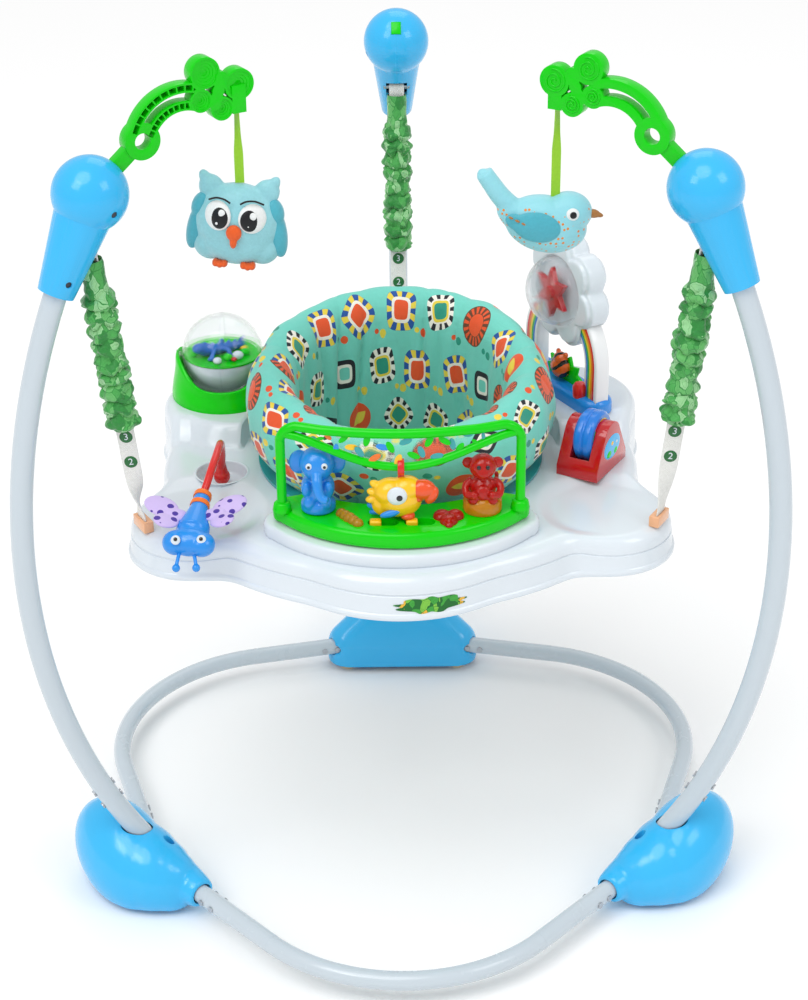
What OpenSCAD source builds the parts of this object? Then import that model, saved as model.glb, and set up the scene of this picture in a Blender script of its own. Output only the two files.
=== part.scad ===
// Baby jumper: three bowed legs on a ring of base tubes hold a play tray on three covered springs.
// A padded fabric seat turns in the middle of the tray, with toys round it and two on arms above.
// Millimetres. +X is right as seen from the front, +Y is towards the back, +Z is up, the floor is z = 0.

/* [Base tubes] */
// Distance of the middle of each base tube from the seat's axis
ring_reach = 400; // [380:5:430]
// Radius of the bend in each base tube
ring_bend_r = 215; // [190:5:240]
// Half angle of the bend in each base tube
ring_bend_half = 47; // [44:0.5:50]
// Height of the base tubes' centre line above the floor
ring_z = 34; // [31:1:40]
// Outer diameter of the base tubes
base_tube_d = 22.2; // [20:0.2:24]
// Wall of the base tubes
base_tube_wall = 1.2; // [0.8:0.1:1.8]

/* [Legs] */
// Outer diameter of the legs
leg_d = 25.4; // [24:0.2:27]
// Wall of the legs
leg_wall = 1.5; // [1:0.1:2]
// Radius to which the legs are bowed
bow_r = 780; // [740:10:840]
// Greatest distance of a leg's centre line from the seat's axis
bow_reach = 482; // [470:2:500]
// Height at which the legs stand widest
bow_z = 492; // [470:2:510]
// Height of the seam between a leg's stub and its upright
seam_z = 188; // [175:1:200]
// Length of the swaged end of an upright inside its stub
spigot_len = 58; // [50:1:64]

/* [Feet] */
// Wall of the moulded feet
foot_wall = 3; // [2.5:0.1:4]
// Height of the rubber pads, which lift the feet off the floor
pad_h = 8; // [6:0.5:10]
// Diameter of the rubber pads
pad_d = 22; // [18:1:24]

/* [Top housings] */
// Radius of the ball on each housing
ball_r = 41; // [39:0.5:44]
// Height of the lower end of each sleeve
sleeve_z = 803; // [790:1:815]
// Distance from a sleeve's lower end to the middle of its ball
sleeve_len = 112; // [108:1:118]
// Radius of a sleeve at its lower end
sleeve_r = 20; // [19:0.5:22]
// Radius of a sleeve where it meets the ball
sleeve_top_r = 34; // [32:0.5:36]
// Wall of the housings
housing_wall = 3; // [2.5:0.1:3.5]

/* [Springs and straps] */
// Width of the webbing
strap_w = 20; // [18:0.5:22]
// Thickness of the webbing
strap_t = 1.6; // [1.2:0.1:2]
// Mean radius of the gathered spring covers
cover_r = 15.5; // [14.5:0.25:17]
// Mean radius of the spring coils
coil_r = 8; // [7:0.25:8.5]
// Diameter of the spring wire
wire_d = 2.2; // [1.8:0.1:2.4]
// Turns in each spring
coil_turns = 12; // [9:1:14]

/* [Tray] */
// Height of the tray's deck
deck_z = 505; // [495:1:515]
// Height of the tray's skirt below the deck
skirt_h = 50; // [44:1:56]
// Wall of the tray
tray_wall = 3; // [2.5:0.1:4]
// Radius of the round middle of the tray
tray_r = 284; // [278:1:292]
// Distance of the strap lobes' middles from the seat's axis
lobe_at = 270; // [265:1:276]
// Radius of the strap lobes
lobe_r = 78; // [74:1:82]
// Distance of the two rear pods' middles from the seat's padded rim
pod_at = 41; // [37:1:47]
// Radius of the two rear pods
pod_r = 96; // [90:1:100]
// Height of the pods above the deck
pod_h = 26; // [22:1:32]
// Radius of the hole in which the seat turns
bore_r = 158; // [156:0.5:160]

/* [Seat] */
// Height of the seat's rim above the deck
rim_h = 128; // [118:1:138]
// Rise of the seat's back above the rim's mean height
back_rise = 18; // [8:1:24]
// Greatest radius of the padded rim
roll_r = 187; // [182:0.5:189]
// Radius inside the padded rim
well_r = 124; // [118:1:128]
// Depth of the seat below the deck
seat_drop = 168; // [150:1:180]
// Thickness of the padded bucket
bucket_t = 12; // [9:0.5:14]
// Gathers round the seat
gathers = 20; // [14:1:24]
// Radius of the leg holes
leg_hole_r = 44; // [40:0.5:48]

/* [Console] */
// Height of the console above the deck
console_h = 36; // [30:1:42]
// Distance of the console's front from the seat's padded rim
console_front = 81; // [75:1:87]
// Half the width of the console
console_half = 164; // [156:1:170]
// Half the distance between the posts of the hoop
hoop_half = 132; // [126:1:138]
// Height of the hoop above the console
hoop_h = 104; // [98:1:112]
// Diameter of the hoop's bars
hoop_d = 11; // [9:0.5:12]

/* [Toys] */
// Radius of the clear ball
globe_r = 50; // [46:0.5:52]
// Radius of the roller wheel
wheel_r = 31; // [27:0.5:33]
// Inner radius of the rainbow arch
arch_r = 52; // [49:1:54]
// Radius of the cloud at the top of the arch
cloud_r = 54; // [50:1:58]
// Thickness of the cloud
cloud_t = 34; // [30:1:40]
// Height of the elephant
elephant_h = 78; // [72:1:80]
// Height of the monkey
monkey_h = 70; // [64:1:76]
// Thickness of the overhead toy arms
arm_t = 16; // [13:0.5:18]
// Length of the ribbons that hold the plush toys
ribbon_len = 80; // [70:1:95]
// Height of the plush toys
plush_h = 88; // [80:1:96]

/* [Hidden] */
$fn = 48;
// Gap of a push fit between still pieces, and of a piece that turns or slides
push_gap = 0.15;
run_gap = 0.4;
axle_gap = 0.06;

// The seat's axis lies this far behind the middle of the footprint
axis_y = (ring_reach + base_tube_d / 2 - bow_reach - leg_d / 2) / 2;

LEFT = 210;
RIGHT = 330;
REAR = 90;
STATIONS = [LEFT, RIGHT, REAR];
POD_LEFT = 150;
POD_RIGHT = 30;

// Base ring: the straight ends of two tubes would meet at this distance, on the station's line
bend_end = [ring_bend_r * sin(ring_bend_half), ring_reach - ring_bend_r * (1 - cos(ring_bend_half))];
end_run = (bend_end.y * sqrt(3) - bend_end.x) / (cos(ring_bend_half) + sqrt(3) * sin(ring_bend_half));
corner_r = 2 * (bend_end.x + end_run * cos(ring_bend_half)) / sqrt(3);
tube_stop = 24;
end_swell = 0.2;
foot_heel = 82;
foot_z = pad_h - 2;
rivet_d = 5;
rivet_at = [foot_heel + 16, foot_heel + 34];

// Legs
function leg_r(z) = bow_reach - bow_r + sqrt(bow_r * bow_r - (z - bow_z) * (z - bow_z));
function leg_lean(z) = asin((z - bow_z) / bow_r);
stub_z = 66;
leg_foot = leg_r(stub_z);
leg_top_z = sleeve_z + 34;
leg_rivet_z = [seam_z - 18, seam_z - 38];

// Top housings, in the plane of a station: x outwards from the seat's axis, z up
sleeve_foot = [leg_r(sleeve_z), 0, sleeve_z];
sleeve_lean = leg_lean(sleeve_z + 18);
function on_sleeve(s, in) = sleeve_foot + s * [-sin(sleeve_lean), 0, cos(sleeve_lean)]
    - in * [cos(sleeve_lean), 0, sin(sleeve_lean)];
ball_at = on_sleeve(sleeve_len, 0);
pin_d = 6;
pin_at = on_sleeve(54, 20);
pin_half = 16.5;
window_half = strap_w / 2 + 3.5;
screw_s = [17, sleeve_len - 8];

// Hang line, from the clip on a tray lobe up to the pin in the housing
clip_at = [lobe_at + lobe_r - 11, 0, deck_z - 4];
hang_len = norm(pin_at - clip_at);
hang_lean = asin((pin_at.x - clip_at.x) / hang_len);
loop_r = pin_d / 2 + 0.3;
loop_low = hang_len - 30;
coil_top = loop_low - 14;
strap_top = 150;
coil_low = strap_top + 14;
cover_low = strap_top - 20;
// Width of the sewn tabs that the spring's hooks go round, and radius inside the strap's tab
tab_w = 8;
eye_r = 4;
band_top = strap_top - eye_r - strap_t / 2;
cover_high = loop_low + 2;
cover_bore = max(coil_r + wire_d / 2, strap_w / 2) + 1.4;
puffs = 13;

// Tray
skirt_z = deck_z - skirt_h;
lobe_z = deck_z - 5;
pod_z = deck_z + pod_h;
front_bulge = 19;
cup_at = (roll_r + 29.12) * [cos(191.206), sin(191.206)];
pod_mid = roll_r + pod_at;
cup_r = 30;
cup_depth = 16;

// Seat
flange_r = bore_r + 12;
flange_t = 4;
collar_gap = 0.6;
ring_in = bore_r - collar_gap - 4;
collar_z = deck_z - 30;
rim_z = deck_z + rim_h;

// Console
console_z = deck_z + console_h;
console_edge = roll_r + console_front;
hoop_y = -(console_edge - 62);
hoop_bow = 20;

// Toys
elephant_at = [-92, hoop_y + 2];
monkey_at = [90, hoop_y - 2];
parrot_y = hoop_y - hoop_bow;
parrot_z = console_z + 62;
globe_at = [(pod_mid + 24) * cos(POD_LEFT), (pod_mid + 24) * sin(POD_LEFT), pod_z + globe_r + 4];
wheel_at = [(roll_r + 41.54) * cos(8.556), -(roll_r + 41.54) * sin(8.556), deck_z + 40];
wheel_w = 24;
wheel_turn = -30;
arch_w = 26;
arch_t = 20;
arch_at = pod_mid + 10;
arch_rise = 56;
cloud_z = pod_z + arch_rise + arch_r + 30;
dome_r = 36;
stalk_d = 9;
arm_c = [ball_at.x - 108, ball_at.z + 37];
arm_r = [41, 60];
swing_at = [ball_at.x - 173, ball_at.z + 65];
swing_pin = 2.5;

// Colours
paint_grey = [0.86, 0.89, 0.91];
sky_blue = [0.27, 0.73, 0.95];
leaf_green = [0.35, 0.72, 0.16];
tray_white = [0.95, 0.96, 0.97];
steel = [0.7, 0.71, 0.73];

// Shared forms

module at_station(angle) rotate([0, 0, angle]) children();

module tube_profile(d, wall)
    difference() {
        circle(d = d);
        circle(d = d - 2 * wall);
    }

// A bar along a leg's bow, in the plane of its station, between two heights
module leg_bar(z0, z1, d, wall = 0)
    translate([bow_reach - bow_r, 0, bow_z])
        rotate([90, 0, 0])
            rotate([0, 0, leg_lean(z0)])
                rotate_extrude(angle = leg_lean(z1) - leg_lean(z0), $fn = 96)
                    translate([bow_r, 0]) {
                        if (wall > 0) tube_profile(d, wall);
                        else circle(d = d);
                    }

// One base tube as a solid bar, its middle on the +X side; its straight ends are sized up a
// little beyond the bend, and stop short of the corners
module ring_bar(d, stop)
    translate([ring_reach - ring_bend_r, 0, ring_z]) {
        rotate([0, 0, -ring_bend_half])
            rotate_extrude(angle = 2 * ring_bend_half, $fn = 96) translate([ring_bend_r, 0]) circle(d = d);
        for (side = [0, 1])
            mirror([0, side, 0])
                rotate([0, 0, -ring_bend_half])
                    translate([ring_bend_r, 2, 0])
                        rotate([90, 0, 0]) cylinder(d = d + 2 * end_swell, h = end_run - stop + 2);
    }

// Places children at a point of a base tube's straight end, x outwards and y along the tube
module on_ring_end(side, back)
    translate([ring_reach - ring_bend_r, 0, ring_z])
        rotate([0, 0, side * ring_bend_half])
            translate([ring_bend_r, side * (end_run - back), 0]) children();

module at_sleeve()
    translate(sleeve_foot) rotate([0, -sleeve_lean, 0]) children();

module at_hang()
    translate(clip_at) rotate([0, hang_lean, 0]) children();

// A round block with its upper edge rolled off in two flats
module puck(r, z0, z1, edge, facets = 96)
    translate([0, 0, z0])
        rotate_extrude($fn = facets)
            polygon([[0, 0], [r, 0], [r, z1 - z0 - edge], [r - 0.3 * edge, z1 - z0 - 0.3 * edge],
                [r - edge, z1 - z0], [0, z1 - z0]]);

module ring_block(r_in, r_out, z0, z1)
    translate([0, 0, z0])
        rotate_extrude($fn = 96) translate([r_in, 0]) square([r_out - r_in, z1 - z0]);

// A bar with round ends between two points
module rod(a, b, d) {
    v = b - a;
    translate(a) {
        rotate([0, acos(v.z / norm(v)), atan2(v.y, v.x)]) cylinder(d = d, h = norm(v));
        sphere(d = d);
    }
    translate(b) sphere(d = d);
}

// Skin over rings of equally many points, closed by a cap on the first and the last ring
module skin(rings) {
    n = len(rings[0]);
    last = len(rings) - 1;
    walls = [for (i = [0 : last - 1], j = [0 : n - 1], half = [0, 1])
        half == 0
            ? [i * n + j, (i + 1) * n + j, i * n + (j + 1) % n]
            : [i * n + (j + 1) % n, (i + 1) * n + j, (i + 1) * n + (j + 1) % n]];
    floor_cap = [for (j = [1 : n - 2]) [0, j, j + 1]];
    roof_cap = [for (j = [1 : n - 2]) [last * n, last * n + j + 1, last * n + j]];
    polyhedron([for (ring = rings, p = ring) p], concat(walls, floor_cap, roof_cap), convexity = 10);
}

// Rings of points round a path, each ring square to the path and untwisted from the one before
function unit(v) = v / norm(v);
function path_dir(p, i) = unit(p[min(i + 1, len(p) - 1)] - p[max(i - 1, 0)]);
function square_to(v, t) = unit(v - (v * t) * t);
function path_sides(p, first, i = 0, found = []) =
    i == len(p) ? found
    : path_sides(p, first, i + 1, concat(found, [square_to(i == 0 ? first : found[i - 1], path_dir(p, i))]));
function path_rings(p, r, sides, first) =
    let (u = path_sides(p, first))
    [for (i = [0 : len(p) - 1])
        let (w = cross(path_dir(p, i), u[i]))
        [for (k = [0 : sides - 1])
            p[i] + r * (cos(360 * k / sides) * u[i] + sin(360 * k / sides) * w)]];

// Base ring

module base_tube(angle)
    color(paint_grey)
        at_station(angle)
            difference() {
                ring_bar(base_tube_d, tube_stop);
                ring_bar(base_tube_d - 2 * base_tube_wall, tube_stop - 1);
                ring_rivets(rivet_d + 2 * push_gap);
            }

module ring_rivets(d)
    for (side = [-1, 1], back = rivet_at)
        on_ring_end(side, back)
            rotate([0, 90, 0]) cylinder(d = d, h = base_tube_d + 4, center = true, $fn = 24);

module front_base_tube() base_tube(270);
module left_base_tube() base_tube(POD_LEFT);
module right_base_tube() base_tube(POD_RIGHT);

// A rivet through a tube of diameter d, its heads on both sides
module rivet(d)
    rotate([0, 90, 0]) {
        cylinder(d = rivet_d, h = d + 2, center = true, $fn = 24);
        for (side = [-1, 1])
            translate([0, 0, side * (d / 2 + 1)]) cylinder(d = rivet_d + 3, h = 1.6, center = true, $fn = 24);
    }

module tube_rivets()
    color(steel) {
        for (angle = [270, POD_LEFT, POD_RIGHT], side = [-1, 1], back = rivet_at)
            at_station(angle) on_ring_end(side, back) rivet(base_tube_d);
        for (angle = STATIONS, z = leg_rivet_z)
            at_station(angle)
                translate([leg_r(z), 0, z]) rotate([0, -leg_lean(z), 0]) rivet(leg_d);
    }

module leg_rivet_holes()
    for (z = leg_rivet_z)
        translate([leg_r(z), 0, z])
            rotate([0, 90 - leg_lean(z), 0])
                cylinder(d = rivet_d + 2 * push_gap, h = leg_d + 4, center = true, $fn = 24);

// Legs

module leg_stubs()
    color(paint_grey)
        for (angle = STATIONS)
            at_station(angle)
                difference() {
                    leg_bar(stub_z, seam_z, leg_d, leg_wall);
                    leg_rivet_holes();
                }

module upright(angle)
    color(paint_grey)
        at_station(angle)
            difference() {
                union() {
                    leg_bar(seam_z, leg_top_z, leg_d, leg_wall);
                    leg_bar(seam_z - spigot_len, seam_z + 4, leg_d - 2 * leg_wall - 2 * push_gap, leg_wall);
                    leg_bar(seam_z, seam_z + 4, leg_d - leg_wall, leg_wall);
                }
                leg_rivet_holes();
                translate(on_sleeve(screw_s[0], 0))
                    rotate([90, 0, 0]) cylinder(d = 4.6, h = leg_d + 4, center = true, $fn = 24);
            }

module left_upright() upright(LEFT);
module right_upright() upright(RIGHT);
module rear_upright() upright(REAR);

// Feet, in the plane of a station; toe is the side on which the foot is long and low

module dome_post(at, r)
    translate([at.x, at.y, foot_z]) {
        cylinder(r = r, h = at.z - foot_z, $fn = 28);
        translate([0, 0, at.z - foot_z]) sphere(r, $fn = 28);
    }

module front_foot_form(toe, skin)
    hull() {
        dome_post([corner_r - 1, toe * 34, foot_z + 30], 28 - skin);
        dome_post([corner_r + 6, -toe * 46, foot_z + 44], 36 - skin);
        dome_post([corner_r + 38, -toe * 12, foot_z + 50], 48 - skin);
        dome_post([leg_foot + 10.8, -toe * 30, 98], 32 - skin);
        dome_post([leg_foot + 30.8, toe * 2, 88], 30 - skin);
    }

module rear_foot_form(skin)
    hull() {
        for (side = [-1, 1]) dome_post([corner_r - 12, side * 78, foot_z + 29], 29 - skin);
        dome_post([corner_r + 41, 0.2, foot_z + 46], 46 - skin);
        dome_post([leg_foot + 21.8, -0.2, 90], 33 - skin);
    }

module foot_sockets(grow)
    for (side = [-1, 1])
        rotate([0, 0, side * 60])
            on_ring_end(-side, tube_stop - 8)
                rotate([-90 * side, 0, 0])
                    cylinder(d = base_tube_d + 2 * (end_swell + grow), h = 140, $fn = 48);

// Room for the heads of the rivets next to a foot
module rivet_room()
    for (side = [-1, 1], back = rivet_at)
        rotate([0, 0, side * 60])
            on_ring_end(-side, back)
                rotate([0, 90, 0]) cylinder(d = rivet_d + 4, h = base_tube_d + 2 * foot_wall + 10, center = true, $fn = 24);

module foot_bores(toe) {
    foot_sockets(push_gap);
    leg_bar(stub_z - 2, seam_z, leg_d + 2 * push_gap);
    translate([corner_r - 6, toe * 24, 44]) cylinder(d = 13, h = 60, $fn = 32);
}

// Rubber pads: station, distance outwards from the corner, distance along the ring
pad_spots = [
    [LEFT, 36, 6], [LEFT, 44, -40], [LEFT, -14, 30],
    [RIGHT, 36, -6], [RIGHT, 44, 40], [RIGHT, -14, -30],
    [REAR, -20, 78], [REAR, -20, -78], [REAR, 64, 0]];

// Sockets for the tubes and seats for the pads, inside a foot
module foot_collars(angle) {
    foot_sockets(foot_wall);
    leg_bar(stub_z - 6, seam_z - 40, leg_d + 2 * foot_wall);
    for (spot = pad_spots)
        if (spot[0] == angle)
            translate([corner_r + spot[1], spot[2], foot_z]) cylinder(d = pad_d - 4, h = seam_z, $fn = 32);
}

module front_foot(angle, toe)
    color(sky_blue)
        at_station(angle)
            difference() {
                union() {
                    difference() {
                        front_foot_form(toe, 0);
                        translate([0, 0, -foot_wall]) front_foot_form(toe, foot_wall);
                    }
                    intersection() {
                        front_foot_form(toe, 0);
                        foot_collars(angle);
                    }
                }
                foot_bores(toe);
            }

module left_foot() front_foot(LEFT, 1);
module right_foot() front_foot(RIGHT, -1);

module rear_foot()
    color(sky_blue)
        at_station(REAR)
            difference() {
                union() {
                    difference() {
                        rear_foot_form(0);
                        translate([0, 0, -foot_wall]) rear_foot_form(foot_wall);
                    }
                    intersection() {
                        rear_foot_form(0);
                        foot_collars(REAR);
                    }
                }
                foot_sockets(push_gap);
                rivet_room();
                leg_bar(stub_z - 2, seam_z, leg_d + 2 * push_gap);
            }

module foot_pads()
    color([0.85, 0.78, 0.62])
        for (spot = pad_spots)
            at_station(spot[0])
                translate([corner_r + spot[1], spot[2], 0]) cylinder(d = pad_d, h = foot_z, $fn = 32);

// Top housings, split down the middle into halves a (-Y side of the station) and b

module housing_form(skin) at_sleeve() {
    cylinder(h = sleeve_len, r1 = sleeve_r - skin, r2 = sleeve_top_r - skin, $fn = 64);
    translate([0, 0, sleeve_len]) sphere(ball_r - skin, $fn = 64);
}

module housing_cavity()
    difference() {
        housing_form(housing_wall);
        at_sleeve() translate([0, 0, -20]) cylinder(r = ball_r, h = 60);
        for (s = screw_s) screw_post(s, 11);
    }

module screw_post(s, d)
    translate(on_sleeve(s, s > 60 ? 15 : 0))
        rotate([90, 0, 0]) cylinder(d = d, h = 2 * ball_r, center = true, $fn = 32);

module housing_window()
    at_hang()
        translate([-40, -window_half, cover_high - 10])
            cube([40 + loop_r + 3.4, 2 * window_half, hang_len - cover_high + 16]);

module housing(angle, side)
    color(sky_blue)
        at_station(angle)
            difference() {
                housing_form(0);
                housing_cavity();
                translate([-ball_r + ball_at.x - 40, side > 0 ? -3 * ball_r : 0, sleeve_z - 60])
                    cube([5 * ball_r, 3 * ball_r, 5 * ball_r]);
                leg_bar(sleeve_z - 14, leg_top_z + 1, leg_d + 2 * push_gap);
                housing_window();
                translate(pin_at) rotate([90, 0, 0])
                    cylinder(d = pin_d + 2 * push_gap, h = 2 * pin_half + 0.4, center = true);
                rotate([90, 0, 0])
                    linear_extrude(12 + 2 * push_gap, center = true) arm_tenon(push_gap);
                for (i = [0, 1]) screw_hole(i);
            }

// Half width of the housing across the station's plane at a screw
screw_out = [sleeve_r + (sleeve_top_r - sleeve_r) * screw_s[0] / sleeve_len, sqrt(ball_r * ball_r - 17 * 17)];

module screw_hole(i)
    translate(on_sleeve(screw_s[i], i == 1 ? 15 : 0))
        rotate([-90, 0, 0]) {
            translate([0, 0, -screw_out[i] + 4]) cylinder(d = 4 + 2 * push_gap, h = 2 * screw_out[i], $fn = 24);
            translate([0, 0, screw_out[i] - 5]) cylinder(d = 7 + 2 * push_gap, h = 20, $fn = 24);
        }

module housing_screws()
    color([0.25, 0.26, 0.28])
        for (angle = STATIONS, i = [0, 1])
            at_station(angle)
                translate(on_sleeve(screw_s[i], i == 1 ? 15 : 0))
                    rotate([-90, 0, 0]) {
                        translate([0, 0, -screw_out[i] + 4.2])
                            cylinder(d = 4, h = 2 * screw_out[i] - 9, $fn = 24);
                        translate([0, 0, screw_out[i] - 5]) cylinder(d = 7, h = 2.4, $fn = 24);
                    }

module left_housing_a() housing(LEFT, -1);
module left_housing_b() housing(LEFT, 1);
module right_housing_a() housing(RIGHT, -1);
module right_housing_b() housing(RIGHT, 1);
module rear_housing_a() housing(REAR, -1);
module rear_housing_b() housing(REAR, 1);

module spring_pins()
    color(steel)
        for (angle = STATIONS)
            at_station(angle)
                translate(pin_at) rotate([90, 0, 0]) cylinder(d = pin_d, h = 2 * pin_half, center = true);

// The empty arm socket of the rear housing is closed by a plug
module socket_plug()
    color(leaf_green)
        at_station(REAR)
            intersection() {
                rotate([90, 0, 0]) linear_extrude(12, center = true) arm_tenon(0);
                translate(ball_at) sphere(ball_r + 1.5, $fn = 64);
            }

// Springs: one wire each, from the strap's loop up to the loop on the pin

function hook(at, r, from, to, n) =
    [for (i = [0 : n]) let (a = from + (to - from) * i / n) at + [r * cos(a), 0, r * sin(a)]];
hook_r = 6;
coil_steps = 8;
spring_path = concat(
    hook([0, 0, strap_top + eye_r + strap_t / 2], hook_r, 150, 400, 9),
    [[coil_r * 0.7, coil_r * 0.35, coil_low - 2.2]],
    [for (i = [4 : coil_turns * coil_steps])
        [coil_r * cos(360 * i / coil_steps), coil_r * sin(360 * i / coil_steps),
            coil_low + (coil_top - coil_low) * i / (coil_turns * coil_steps)]],
    [[coil_r * 0.7, coil_r * 0.35, coil_top + 2.6]],
    hook([0, 0, loop_low - loop_r - strap_t / 2], hook_r, -40, 210, 9));

// Least gap between turns of a spring, which has to stay above 0.4
echo(str("spring turn gap ", (coil_top - coil_low) / coil_turns - wire_d));

module springs()
    color(steel)
        for (angle = STATIONS)
            at_station(angle) at_hang() rotate([0, 0, 90]) skin(path_rings(spring_path, wire_d / 2, 5, [0, 1, 0]));

// Gathered cover over a spring, with the webbing loop it is sewn to at the top
module spring_cover(angle)
    at_station(angle)
        at_hang() {
            color([0.42, 0.58, 0.32])
                translate([0, 0, cover_low])
                    rotate_extrude()
                        difference() {
                            union() {
                                translate([cover_bore, 0]) square([1.6, cover_high - cover_low]);
                                for (i = [0 : puffs - 1])
                                    translate([cover_r - 4 + 1.6 * sin(137 * i), puff_h * (i + 0.5)])
                                        circle(d = puff_h + 1.4, $fn = 24);
                            }
                            translate([-50, -50]) square([50 + cover_bore, 500]);
                            translate([0, -50]) square([50, 50]);
                            translate([0, cover_high - cover_low]) square([50, 50]);
                            translate([cover_bore + 1.6, cover_high - cover_low - 18]) square([50, 50]);
                        }
            color([0.95, 0.95, 0.93])
                rotate([90, 0, 0])
                    linear_extrude(tab_w, center = true)
                        difference() {
                            loop_outline(strap_t);
                            loop_outline(0);
                        }
        }
puff_h = (cover_high - cover_low) / puffs;

module loop_outline(grow) {
    for (s = [loop_low, hang_len]) translate([0, s]) circle(loop_r + grow, $fn = 32);
    translate([-loop_r - grow, loop_low]) square([2 * (loop_r + grow), hang_len - loop_low]);
}

module left_spring_cover() spring_cover(LEFT);
module right_spring_cover() spring_cover(RIGHT);
module rear_spring_cover() spring_cover(REAR);

// A flat band from height z0 to z1 that turns as it rises
module webbing(t, w, z0, z1, turn, steps)
    skin([for (i = [0 : steps])
        [for (p = [[-t, -w], [t, -w], [t, w], [-t, w]])
            let (a = turn * i / steps)
            [(p.x * cos(a) - p.y * sin(a)) / 2, (p.x * sin(a) + p.y * cos(a)) / 2, z0 + (z1 - z0) * i / steps]]]);

// Webbing straps, each with a sewn loop for the spring; one hangs with a half turn in it
module strap(angle, turn)
    color([0.96, 0.96, 0.95])
        at_station(angle)
            at_hang() {
                translate([-strap_t / 2, -strap_w / 2, -24]) cube([strap_t, strap_w, 44.01]);
                if (turn == 0) translate([-strap_t / 2, -strap_w / 2, 20]) cube([strap_t, strap_w, band_top - 20]);
                else webbing(strap_t, strap_w, 20, band_top, turn, 14);
                translate([0, 0, strap_top])
                    rotate([90, 0, 0])
                        difference() {
                            cylinder(r = eye_r + strap_t, h = tab_w, center = true);
                            cylinder(r = eye_r, h = tab_w + 1, center = true);
                        }
            }

module left_strap() strap(LEFT, 180);
module right_strap() strap(RIGHT, 0);
module rear_strap() strap(REAR, 0);

module strap_clips()
    color([0.93, 0.66, 0.45])
        for (angle = STATIONS)
            at_station(angle)
                difference() {
                    translate([clip_at.x - 6, -strap_w / 2 - 5, lobe_z]) cube([12, strap_w + 10, 13]);
                    at_hang() cube([strap_t + 0.6, strap_w + 0.8, 60], center = true);
                }

// Tray

module tray_form(skin, z0) {
    puck(tray_r - skin, z0, deck_z - skin, 16 - skin);
    translate([0, 150 - tray_r - front_bulge, 0]) puck(150 - skin, z0, deck_z - skin, 16 - skin);
    for (angle = STATIONS)
        at_station(angle) translate([lobe_at, 0, 0]) puck(lobe_r - skin, z0, lobe_z - skin, 12 - skin);
    for (angle = [POD_LEFT, POD_RIGHT])
        at_station(angle) translate([pod_mid, 0, 0]) puck(pod_r - skin, z0, pod_z - skin, 14 - skin);
}

// The room over the deck in which the seat's padded rim turns
module seat_room(skin)
    translate([0, 0, deck_z - skin]) cylinder(r = roll_r + 4 + skin, h = 120, $fn = 96);

module tray()
    color(tray_white)
        difference() {
            union() {
                difference() {
                    tray_form(0, skirt_z);
                    seat_room(0);
                    difference() {
                        tray_form(tray_wall, skirt_z - 2);
                        seat_room(tray_wall);
                    }
                }
                ring_block(bore_r - 1, bore_r + tray_wall, collar_z, deck_z);
                translate([cup_at.x, cup_at.y, deck_z - cup_depth - tray_wall])
                    cylinder(r = cup_r + tray_wall, h = cup_depth + tray_wall);
            }
            translate([0, 0, skirt_z - 5]) cylinder(r = bore_r, h = 200, $fn = 96);
            translate([cup_at.x, cup_at.y, deck_z - cup_depth]) cylinder(r = cup_r, h = 50);
            for (angle = STATIONS)
                at_station(angle) at_hang() cube([strap_t + 1.6, strap_w + 1.6, 60], center = true);
        }

// Seat

module seat_ring()
    color([0.13, 0.62, 0.66]) {
        ring_block(ring_in, flange_r, deck_z + run_gap, deck_z + flange_t);
        ring_block(ring_in, bore_r - collar_gap, collar_z - 7, deck_z + flange_t);
    }

module seat_retainer()
    color([0.13, 0.62, 0.66])
        ring_block(bore_r - collar_gap + push_gap, bore_r + 7, collar_z - 7, collar_z - run_gap);

// Seat profile: radius, height, share of the back's rise, depth of the gathers
seat_low = deck_z - seat_drop;
sewn_r = ring_in - 0.4;
seat_profile = [
    [64, seat_low, 0, 0],
    [104, seat_low + 3, 0, 1.5],
    [128, seat_low + 24, 0, 2.5],
    [138, seat_low + 66, 0, 2],
    [143, collar_z - 30, 0, 1.5],
    [sewn_r, collar_z - 9, 0, 0],
    [sewn_r, deck_z + flange_t + 0.5, 0, 0],
    [flange_r - 6, deck_z + 12, 0, 1],
    [roll_r - 7, deck_z + rim_h * 0.3, 0.1, 2.5],
    [roll_r - 3, deck_z + rim_h * 0.56, 0.35, 3],
    [roll_r - 8, deck_z + rim_h * 0.8, 0.7, 3],
    [(roll_r + well_r) / 2 + 8, rim_z - 3, 1, 2],
    [(roll_r + well_r) / 2 - 10, rim_z - 3, 1, 2],
    [well_r + 3, rim_z - rim_h * 0.2, 0.8, 3],
    [well_r, deck_z + rim_h * 0.35, 0.3, 4],
    [well_r + 2, deck_z - 10, 0, 3],
    [143 - bucket_t, collar_z - 34, 0, 1.5],
    [134 - bucket_t, seat_low + 62, 0, 1.5],
    [118 - bucket_t / 2, seat_low + 18 + bucket_t, 0, 1.5],
    [64, seat_low + bucket_t, 0, 0]];

module seat_pad() {
    steps = 3 * gathers;
    rings = [for (p = seat_profile)
        [for (i = [0 : steps - 1])
            let (a = 360 * i / steps, r = p[0] - p[3] * (1 - cos(gathers * a + 0.4 * p[1])) / 2)
            [r * cos(a), r * sin(a), p[1] + back_rise * p[2] * sin(a)]]];
    color([0.1, 0.66, 0.7])
        difference() {
            skin(rings);
            for (side = [-1, 1])
                translate([side * (leg_hole_r + 15), -8, seat_low - 10])
                    cylinder(r = leg_hole_r, h = bucket_t + 44, $fn = 64);
        }
}

// Console

module console_form(skin)
    hull() {
        for (side = [-1, 1])
            translate([side * (console_half - 50), -(console_edge - 76), 0])
                puck_low(50 - skin, deck_z, console_z - skin, 16 - skin);
        translate([0, -(console_edge - 116), 0]) puck_low(116 - skin, deck_z, console_z - skin, 16 - skin);
    }

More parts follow.
